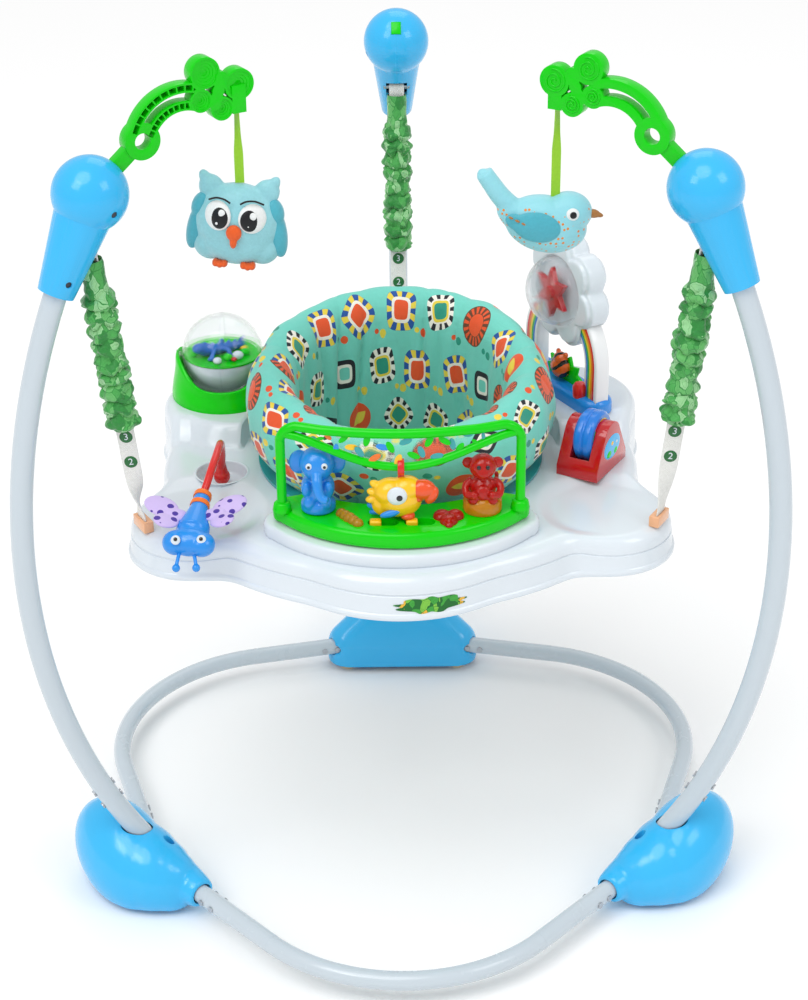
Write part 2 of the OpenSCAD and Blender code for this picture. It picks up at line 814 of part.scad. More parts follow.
// A coarser puck with a rounder edge, for use inside a hull
module puck_low(r, z0, z1, edge)
    translate([0, 0, z0])
        rotate_extrude($fn = 36)
            polygon(concat([[0, 0], [r, 0]],
                [for (a = [0 : 30 : 90]) [r - edge + edge * cos(a), z1 - z0 - edge + edge * sin(a)]],
                [[0, z1 - z0]]));

switch_x = [-20, 20];
switch_y = -(console_edge - 30);
knob_size = [13, 10, 10];
knob_travel = 17;
switch_size = [knob_size.x + knob_travel + 4, knob_size.y + 6];
axle_d = 8;
light_at = [-57, hoop_y - 24];
red_light_at = [52, hoop_y - 26];

module console_base()
    color(leaf_green)
        difference() {
            union() {
                difference() {
                    console_form(0);
                    translate([0, 0, -1]) console_form(tray_wall);
                }
                intersection() {
                    console_form(0);
                    union() {
                        for (at = [elephant_at, monkey_at])
                            translate([at.x, at.y, deck_z]) cylinder(d = axle_d + 10, h = console_h);
                        for (side = [-1, 1])
                            translate([side * hoop_half, hoop_y, deck_z]) cylinder(d = hoop_d + 8, h = console_h);
                        translate([-42, switch_y - 14, console_z - 12]) cube([84, 28, 12]);
                        difference() {
                            cylinder(r = roll_r + 4 + tray_wall, h = 2 * deck_z, $fn = 96);
                            cylinder(r = roll_r + 3, h = 2 * deck_z, $fn = 96);
                        }
                    }
                }
            }
            cylinder(r = roll_r + 4, h = 2 * deck_z, $fn = 96);
            for (at = [elephant_at, monkey_at])
                translate([at.x, at.y, console_z - 20]) cylinder(d = axle_d + 2 * axle_gap, h = 30);
            for (side = [-1, 1])
                translate([side * hoop_half, hoop_y, console_z - 14]) cylinder(d = hoop_d + 2 * push_gap, h = 30);
            for (x = switch_x)
                translate([x, switch_y, console_z - 7]) linear_extrude(20) stadium(switch_size);
        }

module stadium(size) {
    square([size.x - size.y, size.y], center = true);
    for (side = [-1, 1]) translate([side * (size.x - size.y) / 2, 0]) circle(d = size.y);
}

// Hoop of two bars: an upper bar that makes the posts, and a lower bar that dips in the middle
function hoop_bar(u, low, dip) =
    [hoop_half * u, hoop_y - hoop_bow * (1 - u * u), console_z + low - dip * (1 - u * u) * (1 - u * u)];
hoop_corner = 20;
upper_path = concat(
    [[-hoop_half, hoop_y, console_z - 13]],
    [for (a = [0 : 22.5 : 90])
        [-hoop_half + hoop_corner * (1 - cos(a)), hoop_y - 0.04 * a, console_z + hoop_h - hoop_corner * (1 - sin(a))]],
    [for (u = [-0.65 : 0.13 : 0.66]) hoop_bar(u, hoop_h, 2)],
    [for (a = [90 : -22.5 : 0])
        [hoop_half - hoop_corner * (1 - cos(a)), hoop_y - 0.04 * a, console_z + hoop_h - hoop_corner * (1 - sin(a))]],
    [[hoop_half, hoop_y, console_z - 13]]);
lower_path = [for (u = [-1.0 : 0.125 : 1.001]) hoop_bar(u, hoop_h - 9, 33)];

module console_hoop()
    color(leaf_green) {
        skin(path_rings(upper_path, hoop_d / 2, 10, [0, 1, 0]));
        skin(path_rings(lower_path, hoop_d / 2 - 0.7, 10, [0, 1, 0]));
        for (side = [-1, 1])
            translate([side * hoop_half, hoop_y, console_z]) cylinder(d1 = hoop_d + 8, d2 = hoop_d + 3, h = 10);
    }

module hoop_panel() {
    gap = hoop_d / 2 + 0.3;
    rings = [for (u = [-0.55 : 0.11 : 0.56])
        let (notch = abs(u) < 0.05 ? loop_wall + 3 : 0, top = hoop_bar(u, hoop_h - gap, 2),
            low = hoop_bar(u, hoop_h - 9 + gap + notch, 33), mid = (top + low) / 2,
            high_z = max(top.z, mid.z + 0.5), low_z = min(low.z, mid.z - 0.5))
        [[top.x, top.y - 0.7, low_z], [top.x, top.y + 0.7, low_z],
            [top.x, top.y + 0.7, high_z], [top.x, top.y - 0.7, high_z]]];
    color([0.9, 0.95, 0.9, 0.6]) skin(rings);
}

module console_lights() {
    color([0.95, 0.62, 0.15])
        translate([light_at.x, light_at.y, console_z])
            rotate([0, 0, -52])
                intersection() {
                    rotate([0, 90, 0])
                        for (i = [-2 : 2]) translate([0, 0, i * 7.5]) sphere(d = 15 - abs(i), $fn = 32);
                    translate([-40, -20, 0]) cube([80, 40, 20]);
                }
    color([0.85, 0.12, 0.12])
        translate([red_light_at.x, red_light_at.y, console_z])
            linear_extrude(6, scale = 0.8) {
                for (side = [-1, 1]) translate([side * 5.5, 4]) circle(7.5, $fn = 28);
                polygon([[-12.4, 1.2], [12.4, 1.2], [0, -15]]);
            }
}

module knob(x, colour)
    color(colour)
        translate([x - knob_travel / 2, switch_y, console_z - 7 + run_gap])
            translate([0, 0, knob_size.z / 2]) cube(knob_size, center = true);

module power_switch() knob(switch_x[0], [0.96, 0.82, 0.12]);
module volume_switch() knob(switch_x[1], [0.96, 0.82, 0.12]);

// Console toys

module elephant()
    color([0.15, 0.5, 0.85])
        translate([elephant_at.x, elephant_at.y, console_z + run_gap]) {
            translate([0, 0, -17]) cylinder(d = axle_d, h = 20);
            puck(20, 0, 12, 4, 32);
            hull() {
                translate([0, 0, elephant_h * 0.36]) sphere(elephant_h * 0.27, $fn = 20);
                translate([0, -2, elephant_h * 0.74]) sphere(elephant_h * 0.26, $fn = 20);
            }
            for (side = [-1, 1])
                translate([side * elephant_h * 0.25, 3, elephant_h * 0.7])
                    rotate([90, 0, 0]) cylinder(r = elephant_h * 0.16, h = 6, center = true, $fn = 24);
            skin(path_rings([[0, -14, elephant_h * 0.66], [0, -24, elephant_h * 0.56], [2, -27, elephant_h * 0.42],
                [6, -29, elephant_h * 0.34], [12, -31, elephant_h * 0.32]], 5, 8, [1, 0, 0]));
        }

module monkey() {
    translate([monkey_at.x, monkey_at.y, console_z + run_gap]) {
        color([0.95, 0.5, 0.1]) {
            translate([0, 0, -17]) cylinder(d = axle_d, h = 20);
            puck(22, 0, monkey_h * 0.28, 6, 32);
        }
        color([0.87, 0.2, 0.15]) {
            hull() {
                translate([0, 0, monkey_h * 0.36]) sphere(monkey_h * 0.23, $fn = 20);
                translate([0, -3, monkey_h * 0.77]) sphere(monkey_h * 0.22, $fn = 20);
            }
            for (side = [-1, 1]) {
                translate([side * monkey_h * 0.24, 0, monkey_h * 0.8])
                    rotate([90, 0, 0]) cylinder(r = monkey_h * 0.1, h = 6, center = true, $fn = 24);
                skin(path_rings([[side * 11, 0, monkey_h * 0.5], [side * 20, -4, monkey_h * 0.46],
                    [side * 20, -15, monkey_h * 0.38]], 4, 8, [0, 0, 1]));
            }
        }
    }
}

loop_wall = 3;
module parrot()
    translate([0, parrot_y, parrot_z]) {
        color([0.85, 0.12, 0.12])
            rotate([0, 90, 0])
                difference() {
                    cylinder(r = hoop_d / 2 + 0.8 + loop_wall, h = 7, center = true);
                    cylinder(r = hoop_d / 2 + 0.8, h = 8, center = true);
                }
        color([0.98, 0.8, 0.1]) {
            translate([0, 0, -hoop_d / 2 - 12]) cylinder(d = 7, h = 9);
            hull() {
                translate([2, 0, -37]) sphere(16, $fn = 18);
                translate([-10, -3, -25]) sphere(11, $fn = 18);
            }
            for (side = [-1, 1])
                skin(path_rings([[2 + side * 11, 1, -29], [2 + side * 17, 2, -36], [2 + side * 20, 3, -45]],
                    5, 8, [0, 1, 0]));
        }
        color([0.95, 0.45, 0.1])
            translate([-13, -10, -25]) rotate([104, 0, -20]) cylinder(d1 = 10, d2 = 2, h = 14);
        color([0.15, 0.45, 0.85])
            skin(path_rings([[8, 4, -44], [17, 7, -48], [27, 9, -50]], 4.2, 8, [0, 1, 0]));
    }

// Left side: a clear ball on a cradle, and a bug on a bending stalk

trunnion_d = 8;
trunnion_out = globe_r + 7;
module globe_cradle()
    color(leaf_green)
        translate(globe_at)
            difference() {
                union() {
                    translate([0, 0, pod_z - globe_at.z])
                        cylinder(r1 = globe_r + 14, r2 = globe_r + 9, h = globe_at.z - pod_z - 22, $fn = 96);
                    for (side = [-1, 1])
                        translate([side * (globe_r + 3), 0, -30]) {
                            translate([-6, -11, 0]) cube([12, 22, 30]);
                            translate([0, 0, 30]) rotate([0, 90, 0]) cylinder(r = 11, h = 12, center = true);
                        }
                }
                sphere(globe_r + run_gap, $fn = 96);
                rotate([0, 90, 0]) cylinder(d = trunnion_d + 2 * axle_gap, h = 4 * globe_r, center = true);
                translate([0, 0, pod_z - globe_at.z - 1]) cylinder(r = globe_r - 16, h = 14);
            }

module globe_ball()
    color([0.9, 0.97, 1, 0.35])
        translate(globe_at) {
            difference() {
                sphere(globe_r, $fn = 96);
                sphere(globe_r - 2, $fn = 96);
            }
            for (side = [-1, 1])
                rotate([0, side * 90, 0]) translate([0, 0, globe_r - 1]) cylinder(d = trunnion_d, h = 8);
        }

// A lizard on a disc that fills the middle of the clear ball
module globe_lizard()
    color([0.1, 0.42, 0.82])
        translate(globe_at) {
            translate([0, 0, -1]) cylinder(r = sqrt((globe_r - 2) ^ 2 - 1) - 0.2, h = 2, $fn = 64);
            hull() {
                translate([-22, -14, 10]) sphere(8, $fn = 16);
                translate([-14, -9, 5]) sphere(6, $fn = 16);
                translate([8, 2, 6]) sphere(8, $fn = 16);
            }
            skin(path_rings([[6, 1, 5], [17, 7, 4], [23, 16, 3.6], [20, 24, 3.4]], 4, 8, [0, 0, 1]));
            for (foot = [[-8, -24], [-22, 4], [12, -12], [-2, 16]])
                skin(path_rings([[-6 + foot.x * 0.2, -4 + foot.y * 0.2, 4], [foot.x * 0.8, foot.y * 0.8, 3.2],
                    [foot.x, foot.y, 2.6]], 2.8, 6, [0, 0, 1]));
        }

stalk_foot = 10;
stalk_at = [cup_at.x, cup_at.y, deck_z - cup_depth + stalk_foot + run_gap];
stalk_path = [for (p = [[0, 0, 0], [0, -2, 14], [2, -9, 32], [3, -23, 51], [4, -42, 64], [4, -64, 70],
    [2, -86, 69], [-2, -107, 63], [-6, -122, 54], [-9, -130, 48]]) stalk_at + p];
bug_tail = stalk_at + [-9.5, -131, 47];
bug_head = stalk_at + [-24, -214, 16];

module bug_stalk()
    color([0.88, 0.15, 0.15]) {
        translate(stalk_at) {
            sphere(stalk_foot);
            rotate([0, 90, 0]) cylinder(d = stalk_d, h = 2 * stalk_foot + 8, center = true);
        }
        skin(path_rings(stalk_path, stalk_d / 2, 8, [1, 0, 0]));
    }

function bug_at(u) = bug_tail + u * (bug_head - bug_tail);
module bug_body() {
    color([0.12, 0.45, 0.88]) {
        difference() {
            hull() {
                translate(bug_at(0.12)) sphere(9, $fn = 20);
                translate(bug_at(0.55)) sphere(17, $fn = 20);
                translate(bug_at(0.85)) sphere(19, $fn = 20);
            }
            skin(path_rings(concat(stalk_path, [stalk_at + [-11, -136, 43.5]]), stalk_d / 2 + 0.2, 8, [1, 0, 0]));
        }
        for (side = [-1, 1]) {
            rod(bug_at(0.9) + [side * 9, -8, -10], bug_at(0.9) + [side * 13, -16, -21], 4);
            translate(bug_at(0.9) + [side * 13, -16, -22]) sphere(5);
        }
    }
}

module bug_wings()
    color([0.72, 0.6, 0.88])
        for (side = [-1, 1])
            translate(bug_at(0.5) + [side * 16 + 1.4, 4, 9])
                rotate([12, -side * 18, side * 25])
                    linear_extrude(3) {
                        translate([side * 22, 6]) circle(17, $fn = 32);
                        translate([side * 16, -14]) circle(12, $fn = 32);
                        translate([side * 8 - 8, -8]) square([16, 14]);
                    }

// Right side: a roller, and a rainbow arch with a cloud over a moulded base

axle_r = 4;
cheek = 14;
base_half = 40;
roller_half = wheel_w / 2 + run_gap + cheek;
module at_roller() translate(wheel_at) rotate([0, 0, wheel_turn]) children();

module roller_base()
    color([0.88, 0.16, 0.14])
        at_roller()
            difference() {
                rotate([90, 0, 90])
                    linear_extrude(2 * roller_half, center = true) {
                        circle(22);
                        polygon([[-base_half, deck_z - wheel_at.z], [base_half, deck_z - wheel_at.z],
                            [base_half, deck_z - wheel_at.z + 12], [20, 9], [-20, 9],
                            [-base_half, deck_z - wheel_at.z + 12]]);
                    }
                translate([-wheel_w / 2 - run_gap, -wheel_r - 3, deck_z - wheel_at.z + 4])
                    cube([wheel_w + 2 * run_gap, 2 * wheel_r + 6, 200]);
                rotate([0, 90, 0]) cylinder(r = axle_r + axle_gap, h = 2 * roller_half - 6, center = true);
            }

module roller_wheel()
    color([0.12, 0.4, 0.85])
        at_roller()
            rotate([0, 90, 0]) {
                rotate_extrude($fn = 64)
                    difference() {
                        translate([0, -wheel_w / 2]) square([wheel_r, wheel_w]);
                        for (side = [-1, 1])
                            translate([wheel_r, side * wheel_w / 2]) rotate(45) square(5, center = true);
                        translate([wheel_r + 1, 0]) circle(2.4, $fn = 24);
                    }
                cylinder(r = axle_r, h = 2 * roller_half - 7, center = true);
            }

module at_arch() at_station(POD_RIGHT) translate([arch_at, 0, 0]) children();
station_h = 18;
station_z = pod_z + station_h;
arch_out = arch_r + arch_w;
station_half = arch_out + 5;
arch_low = station_z - 10;
arch_mid_z = pod_z + arch_rise;

// Outline of the arch seen along the station's line, z up
module arch_outline(grow)
    translate([0, arch_mid_z])
        difference() {
            union() {
                circle(arch_out + grow, $fn = 96);
                translate([-arch_out - grow, arch_low - arch_mid_z]) square([2 * (arch_out + grow), arch_mid_z - arch_low]);
            }
            circle(arch_r - grow, $fn = 96);
            translate([-2 * arch_out, arch_low - arch_mid_z - 2 * arch_out]) square([4 * arch_out, 2 * arch_out]);
            translate([-arch_r + grow, arch_low - arch_mid_z - 1])
                square([2 * (arch_r - grow), arch_mid_z - arch_low + 1]);
        }

module toy_station()
    color([0.12, 0.42, 0.85])
        difference() {
            at_arch()
                hull()
                    for (side = [-1, 1])
                        translate([0, side * (station_half - 22), 0]) puck_low(22, pod_z, station_z, 7);
            at_arch()
                rotate([90, 0, 90]) linear_extrude(arch_t + 2 * push_gap, center = true) arch_outline(push_gap);
        }

module rainbow_arch()
    color([0.96, 0.96, 0.95])
        at_arch() rotate([90, 0, 90]) linear_extrude(arch_t, center = true) arch_outline(0);

module cloud_outline(grow)
    translate([0, cloud_z]) {
        circle(cloud_r - 8 + grow, $fn = 64);
        for (i = [0 : 6])
            rotate(90 + i * 360 / 7) translate([cloud_r - 17, 0]) circle(cloud_r * 0.4 + grow, $fn = 40);
    }

star_pin = 2.5;
module cloud_shell()
    color([0.97, 0.97, 0.98])
        difference() {
            at_arch() rotate([90, 0, 90]) {
                linear_extrude(cloud_t, center = true) cloud_outline(-4);
                linear_extrude(cloud_t - 10, center = true) cloud_outline(0);
            }
            at_arch() rotate([90, 0, 90]) linear_extrude(arch_t + 2 * push_gap, center = true) arch_outline(push_gap);
            at_dome() {
                translate([0, 0, -4]) cylinder(r = dome_r + push_gap, h = 20, $fn = 64);
                translate([0, 0, -13]) cylinder(r = star_pin + axle_gap, h = 20);
            }
        }

// The dome's seat on the cloud's inner face: z out of the face, towards the seat
module at_dome()
    at_arch() translate([-cloud_t / 2, 0, cloud_z]) rotate([0, -90, 0]) children();

module cloud_dome()
    color([0.92, 0.97, 1, 0.35])
        at_dome()
            translate([0, 0, -4])
                rotate_extrude($fn = 64) {
                    intersection() {
                        difference() {
                            translate([0, 4]) circle(dome_r);
                            translate([0, 4]) circle(dome_r - 1.6);
                        }
                        translate([0, 4]) square(60);
                    }
                    translate([dome_r - 1.6, 0]) square([1.6, 4.5]);
                }

module star_spinner()
    color([0.88, 0.12, 0.14])
        at_dome() {
            translate([0, 0, -11]) cylinder(r = star_pin, h = 20);
            cylinder(r = 7, h = 14);
            translate([0, 0, 3])
                linear_extrude(7)
                    polygon([for (i = [0 : 11]) (i % 2 == 0 ? 27 : 14) * [cos(30 * i), sin(30 * i)]]);
        }

module leaf_tiger() {
    at_arch() translate([-2, 0, station_z]) {
        color([0.3, 0.65, 0.15])
            rotate([90, 0, 90])
                linear_extrude(5, center = true)
                    polygon([[-30, 0], [30, 0], [36, 10], [27, 14], [30, 24], [18, 22], [12, 32], [0, 25], [-12, 34],
                        [-17, 22], [-30, 25], [-27, 14], [-37, 10]]);
        color([0.95, 0.55, 0.12]) {
            translate([-6, 0, 17]) sphere(16);
            for (side = [-1, 1]) translate([-6, side * 11, 29]) sphere(6);
        }
    }
}

// Overhead arms, in the plane of a station: x outwards, y up

arm_eye = arm_c + [48, 11];
arm_angle = atan2(arm_eye.y - ball_at.z, arm_eye.x - ball_at.x);
wings = [[[-27, 72], 17], [[-66, 54], 17], [[-21, 43], 12.5], [[-45, 31], 13]];

module arm_tenon(grow)
    translate([ball_at.x, ball_at.z])
        rotate(arm_angle) translate([ball_r - 14 - grow, -8 - grow]) square([26 + grow, 16 + 2 * grow]);

module arm_sector(a0, a1)
    polygon([[0, 0], for (i = [0 : 3]) 140 * [cos(a0 + (a1 - a0) * i / 3), sin(a0 + (a1 - a0) * i / 3)]]);

module arm_rods(inset)
    translate(arm_c)
        intersection() {
            for (r = arm_r)
                difference() {
                    circle(r + 5 - inset, $fn = 96);
                    circle(r - 5 + inset, $fn = 96);
                }
            arm_sector(20, 112);
        }

module arm_wings(inset)
    translate(arm_c) for (w = wings) translate(w[0]) circle(w[1] - inset);

module arm_solid(t) rotate([90, 0, 0]) linear_extrude(t, center = true) children();

// Hollow side of the arm, open towards +Y
module arm_pocket() rotate([90, 0, 0]) translate([0, 0, -arm_t]) linear_extrude(1.5 * arm_t - 3) children();

tab = [16, 30];
ribbon_w = 10;
module toy_arm(angle)
    color(leaf_green)
        at_station(angle) {
            difference() {
                union() {
                    difference() {
                        arm_solid(arm_t) {
                            translate(arm_eye) circle(20);
                            arm_rods(0);
                            arm_wings(0);
                        }
                        arm_pocket() {
                            difference() {
                                arm_rods(2);
                                for (a = [30 : 9 : 105])
                                    translate(arm_c) rotate(a) translate([0, -0.8]) square([100, 1.6]);
                                arm_wings(-2);
                            }
                            arm_wings(2.2);
                        }
                    }
                    translate([0, -1, 0])
                        arm_solid(arm_t - 6)
                            translate(arm_c)
                                for (w = wings)
                                    translate(w[0])
                                        difference() {
                                            circle(w[1] * 0.55);
                                            circle(w[1] * 0.55 - 2);
                                        }
                    arm_solid(arm_t)
                        translate(arm_c) for (i = [0 : 0.25 : 1]) translate([-46, 64] + i * [9, -27]) circle(7);
                    arm_solid(12) {
                        arm_tenon(0);
                        translate(arm_eye) rotate(arm_angle + 180) translate([0, -8]) square([30, 16]);
                    }
                    arm_solid(arm_t) translate(swing_at + [-tab.x / 2, -5]) square(tab);
                }
                arm_solid(2 * arm_t) translate(arm_eye) circle(9);
                arm_solid(ribbon_w + 2) translate(swing_at + [-tab.x / 2 - 1, -12]) square([tab.x + 2, 26]);
            }
            translate([swing_at.x, 0, swing_at.y])
                rotate([90, 0, 0]) cylinder(r = swing_pin, h = arm_t, center = true, $fn = 32);
        }

module left_toy_arm() toy_arm(LEFT);
module right_toy_arm() toy_arm(RIGHT);

// Plush toys, each hung by a ribbon from its arm; they face the front

// Ribbon looped on the arm's pin, which turns towards the front on its way down
module ribbon(angle, turn)
    rotate([0, 0, angle]) {
        rotate([90, 0, 0])
            difference() {
                cylinder(r = swing_pin + 2, h = ribbon_w, center = true, $fn = 32);
                cylinder(r = swing_pin + 0.4, h = ribbon_w + 1, center = true, $fn = 32);
            }
        rotate([0, 0, turn]) webbing(1.4, ribbon_w, -ribbon_len - 5, -swing_pin - 1, -turn, 8);
    }

module hung(angle) translate([swing_at.x * cos(angle), swing_at.x * sin(angle), swing_at.y]) children();

module owl()
    hung(LEFT) {
        color([0.7, 0.85, 0.2]) ribbon(LEFT, 58);
        color([0.6, 0.87, 0.86])
            translate([0, 0, -ribbon_len]) {
                hull() {
                    for (side = [-1, 1]) {
                        translate([side * 17, 0.3, -7]) sphere(6, $fn = 16);
                        translate([side * 11, 0.1, -24]) sphere(16, $fn = 18);
                        translate([side * 8, -0.2, -plush_h * 0.68]) sphere(20, $fn = 20);
                    }
                }
                for (side = [-1, 1]) {
                    skin(path_rings([[side * 21, 3, -plush_h * 0.36], [side * 29, 3, -plush_h * 0.5],
                        [side * 32, 3, -plush_h * 0.66], [side * 30, 3, -plush_h * 0.76]], 6, 8, [0, 1, 0]));
                    skin(path_rings([[side * 8, -4, -plush_h * 0.86], [side * 10, -14, -plush_h * 0.9],
                        [side * 11, -23, -plush_h * 0.92]], 6, 8, [0, 0, 1]));
                }
            }
    }

module bird()
    hung(RIGHT) {
        color([0.7, 0.85, 0.2]) ribbon(RIGHT, -58);
        color([0.45, 0.8, 0.85])
            translate([0, 0, 14 - ribbon_len]) {
                hull() {
                    translate([0, 0, -plush_h * 0.4]) sphere(24, $fn = 20);
                    translate([19, 0, -plush_h * 0.28]) sphere(18, $fn = 20);
                    translate([-22, 0, -plush_h * 0.34]) sphere(14, $fn = 20);
                }
                hull() {
                    translate([-24, 0, -plush_h * 0.32]) sphere(12, $fn = 16);
                    translate([-46, 0, -plush_h * 0.08]) sphere(6, $fn = 16);
                }
                hull() {
                    translate([-8, -20, -plush_h * 0.36]) sphere(10, $fn = 16);
                    translate([-18, -21, -plush_h * 0.58]) sphere(6, $fn = 16);
                }
                translate([35, -2, -plush_h * 0.28]) rotate([0, 90, 0]) cylinder(d1 = 9, d2 = 2, h = 9);
            }
    }

module place() translate([0, axis_y, 0]) children();

place() front_base_tube();
place() left_base_tube();
place() right_base_tube();
place() leg_stubs();
place() left_upright();
place() right_upright();
place() rear_upright();
place() left_foot();
place() right_foot();
place() rear_foot();
place() foot_pads();
place() tube_rivets();
place() left_housing_a();
place() left_housing_b();
place() right_housing_a();
place() right_housing_b();
place() rear_housing_a();
place() rear_housing_b();
place() housing_screws();
place() spring_pins();
place() left_toy_arm();
place() right_toy_arm();
place() socket_plug();
place() springs();
place() left_spring_cover();
place() right_spring_cover();
place() rear_spring_cover();
place() tray();
place() left_strap();
place() right_strap();
place() rear_strap();
place() strap_clips();
place() console_base();
place() console_hoop();
place() hoop_panel();
place() console_lights();
place() globe_cradle();
place() toy_station();
place() rainbow_arch();
place() cloud_shell();
place() cloud_dome();
place() leaf_tiger();
place() roller_base();
place() seat_ring();
place() seat_retainer();
place() seat_pad();
place() elephant();
place() monkey();
place() parrot();
place() roller_wheel();
place() star_spinner();
place() globe_ball();
place() globe_lizard();
place() bug_stalk();
place() bug_body();
place() bug_wings();
place() power_switch();
place() volume_switch();
place() owl();
place() bird();
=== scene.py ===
"""Dressed visual model of a baby jumper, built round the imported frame.

Metres, in the frame's own axes: +X right as seen from the front, +Y back, +Z up, floor at z = 0.
"""

from __future__ import annotations

import logging
import math
from abc import ABC, abstractmethod
from dataclasses import dataclass, field
from enum import Enum
from typing import Callable, Iterable, Sequence

import bmesh
import bpy
from mathutils import Matrix, Vector, noise

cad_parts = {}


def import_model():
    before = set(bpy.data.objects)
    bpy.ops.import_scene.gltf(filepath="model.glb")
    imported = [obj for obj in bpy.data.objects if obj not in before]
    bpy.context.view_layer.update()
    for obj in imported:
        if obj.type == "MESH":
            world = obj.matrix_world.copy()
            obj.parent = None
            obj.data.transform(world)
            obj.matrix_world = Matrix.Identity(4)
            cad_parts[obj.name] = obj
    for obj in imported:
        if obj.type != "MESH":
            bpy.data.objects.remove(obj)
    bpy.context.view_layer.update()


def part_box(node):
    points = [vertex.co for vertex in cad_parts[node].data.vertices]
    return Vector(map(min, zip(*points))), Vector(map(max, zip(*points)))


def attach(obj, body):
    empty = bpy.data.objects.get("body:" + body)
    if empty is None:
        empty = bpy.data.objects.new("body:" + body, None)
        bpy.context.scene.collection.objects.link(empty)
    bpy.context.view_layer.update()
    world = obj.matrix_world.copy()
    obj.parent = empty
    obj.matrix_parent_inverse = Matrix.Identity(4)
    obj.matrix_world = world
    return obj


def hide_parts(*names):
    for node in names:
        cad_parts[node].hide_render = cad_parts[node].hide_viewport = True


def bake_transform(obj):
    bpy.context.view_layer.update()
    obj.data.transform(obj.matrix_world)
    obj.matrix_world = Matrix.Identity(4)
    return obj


log = logging.getLogger("jumper")

Point = Sequence[float]
Colour = tuple[float, float, float]
Socket = bpy.types.NodeSocket

MM = 0.001
TURN = 2 * math.pi


def mm(*values: float) -> Vector:
    """A point or size given in millimetres, in metres."""
    return Vector(values) * MM


def rotated(angle: float, axis: str = "Z") -> Matrix:
    """The matrix that turns about an axis by degrees."""
    return Matrix.Rotation(math.radians(angle), 4, axis)


def shifted(*values: float) -> Matrix:
    """The matrix that moves by millimetres."""
    return Matrix.Translation(mm(*values))


def polar(radius: float, angle: float, z: float) -> Vector:
    """The point at a radius, an angle in radians and a height."""
    return Vector((radius * math.cos(angle), radius * math.sin(angle), z))


def dim(colour: Colour, share: float) -> Colour:
    """A colour with a share of its light."""
    return (colour[0] * share, colour[1] * share, colour[2] * share)


def srgb(code: str) -> Colour:
    """The linear colour of a hex code.

    Args:
        code: Six hex digits, such as "45BFF5".

    Returns:
        Red, green and blue in linear light.
    """
    parts = [int(code[i : i + 2], 16) / 255 for i in (0, 2, 4)]
    linear = [c / 12.92 if c <= 0.04045 else ((c + 0.055) / 1.055) ** 2.4 for c in parts]
    return (linear[0], linear[1], linear[2])


def ease(t: float) -> float:
    """A smooth step from 0 to 1 as t goes from 0 to 1."""
    t = min(1.0, max(0.0, t))
    return t * t * (3 - 2 * t)


class Station(Enum):
    """The three legs, by their angle round the seat's axis in degrees."""

    LEFT = 210
    RIGHT = 330
    REAR = 90

    @property
    def label(self) -> str:
        """The station's name as the nodes spell it."""
        return self.name.lower()


class Weave(Enum):
    """How a cloth is woven, by the scale of its threads per metre and their relief."""

    PLAIN = (1500.0, 0.25)
    SATIN = (2200.0, 0.10)
    WEBBING = (900.0, 0.55)


@dataclass(frozen=True)
class Layout:
    """Places that several assemblies share, in millimetres about the seat's axis."""

    axis_y: float = -41.8
    deck_z: float = 505.0
    pod_z: float = 531.0
    console_z: float = 541.0
    hoop_y: float = -206.0
    clip_at: tuple[float, float] = (337.0, 501.0)
    pin_at: tuple[float, float] = (376.4, 843.5)
    swing_at: tuple[float, float] = (197.08, 969.55)
    globe_at: tuple[float, float, float] = (-218.2, 126.0, 585.0)
    wheel_at: tuple[float, float, float] = (226.0, -34.0, 545.0)
    stalk_at: tuple[float, float, float] = (-212.0, -42.0, 499.4)
    arch_at: float = 238.0
    arch_mid_z: float = 587.0
    cloud_z: float = 669.0

    def spot(self, x: float, y: float, z: float) -> Vector:
        """A point about the seat's axis, in the frame's axes."""
        return mm(x, y + self.axis_y, z)

    def shift(self, x: float = 0.0, y: float = 0.0, z: float = 0.0) -> Matrix:
        """The matrix that moves the origin to a point about the seat's axis."""
        return Matrix.Translation(self.spot(x, y, z))

    def station(self, angle: float) -> Matrix:
        """Axes of a station: x outwards, y along the ring and z up, with the origin on the floor."""
        return self.shift() @ rotated(angle)

    def hang(self, angle: float) -> Matrix:
        """Axes of a hang line: z from the clip on a lobe up to the pin in the housing.

        Args:
            angle: The station's angle in degrees.

        Returns:
            The axes.
        """
        out, up = self.pin_at[0] - self.clip_at[0], self.pin_at[1] - self.clip_at[1]
        lean = Matrix.Rotation(math.atan2(out, up), 4, "Y")
        return self.station(angle) @ shifted(self.clip_at[0], 0, self.clip_at[1]) @ lean

    def arch(self) -> Matrix:
        """Axes of the arch on the right pod: x outwards, y across the arch and z up."""
        return self.station(30) @ shifted(self.arch_at, 0, 0)

    @property
    def hang_len(self) -> float:
        """Length of a hang line in millimetres."""
        return math.dist(self.clip_at, self.pin_at)


PLAN = Layout()


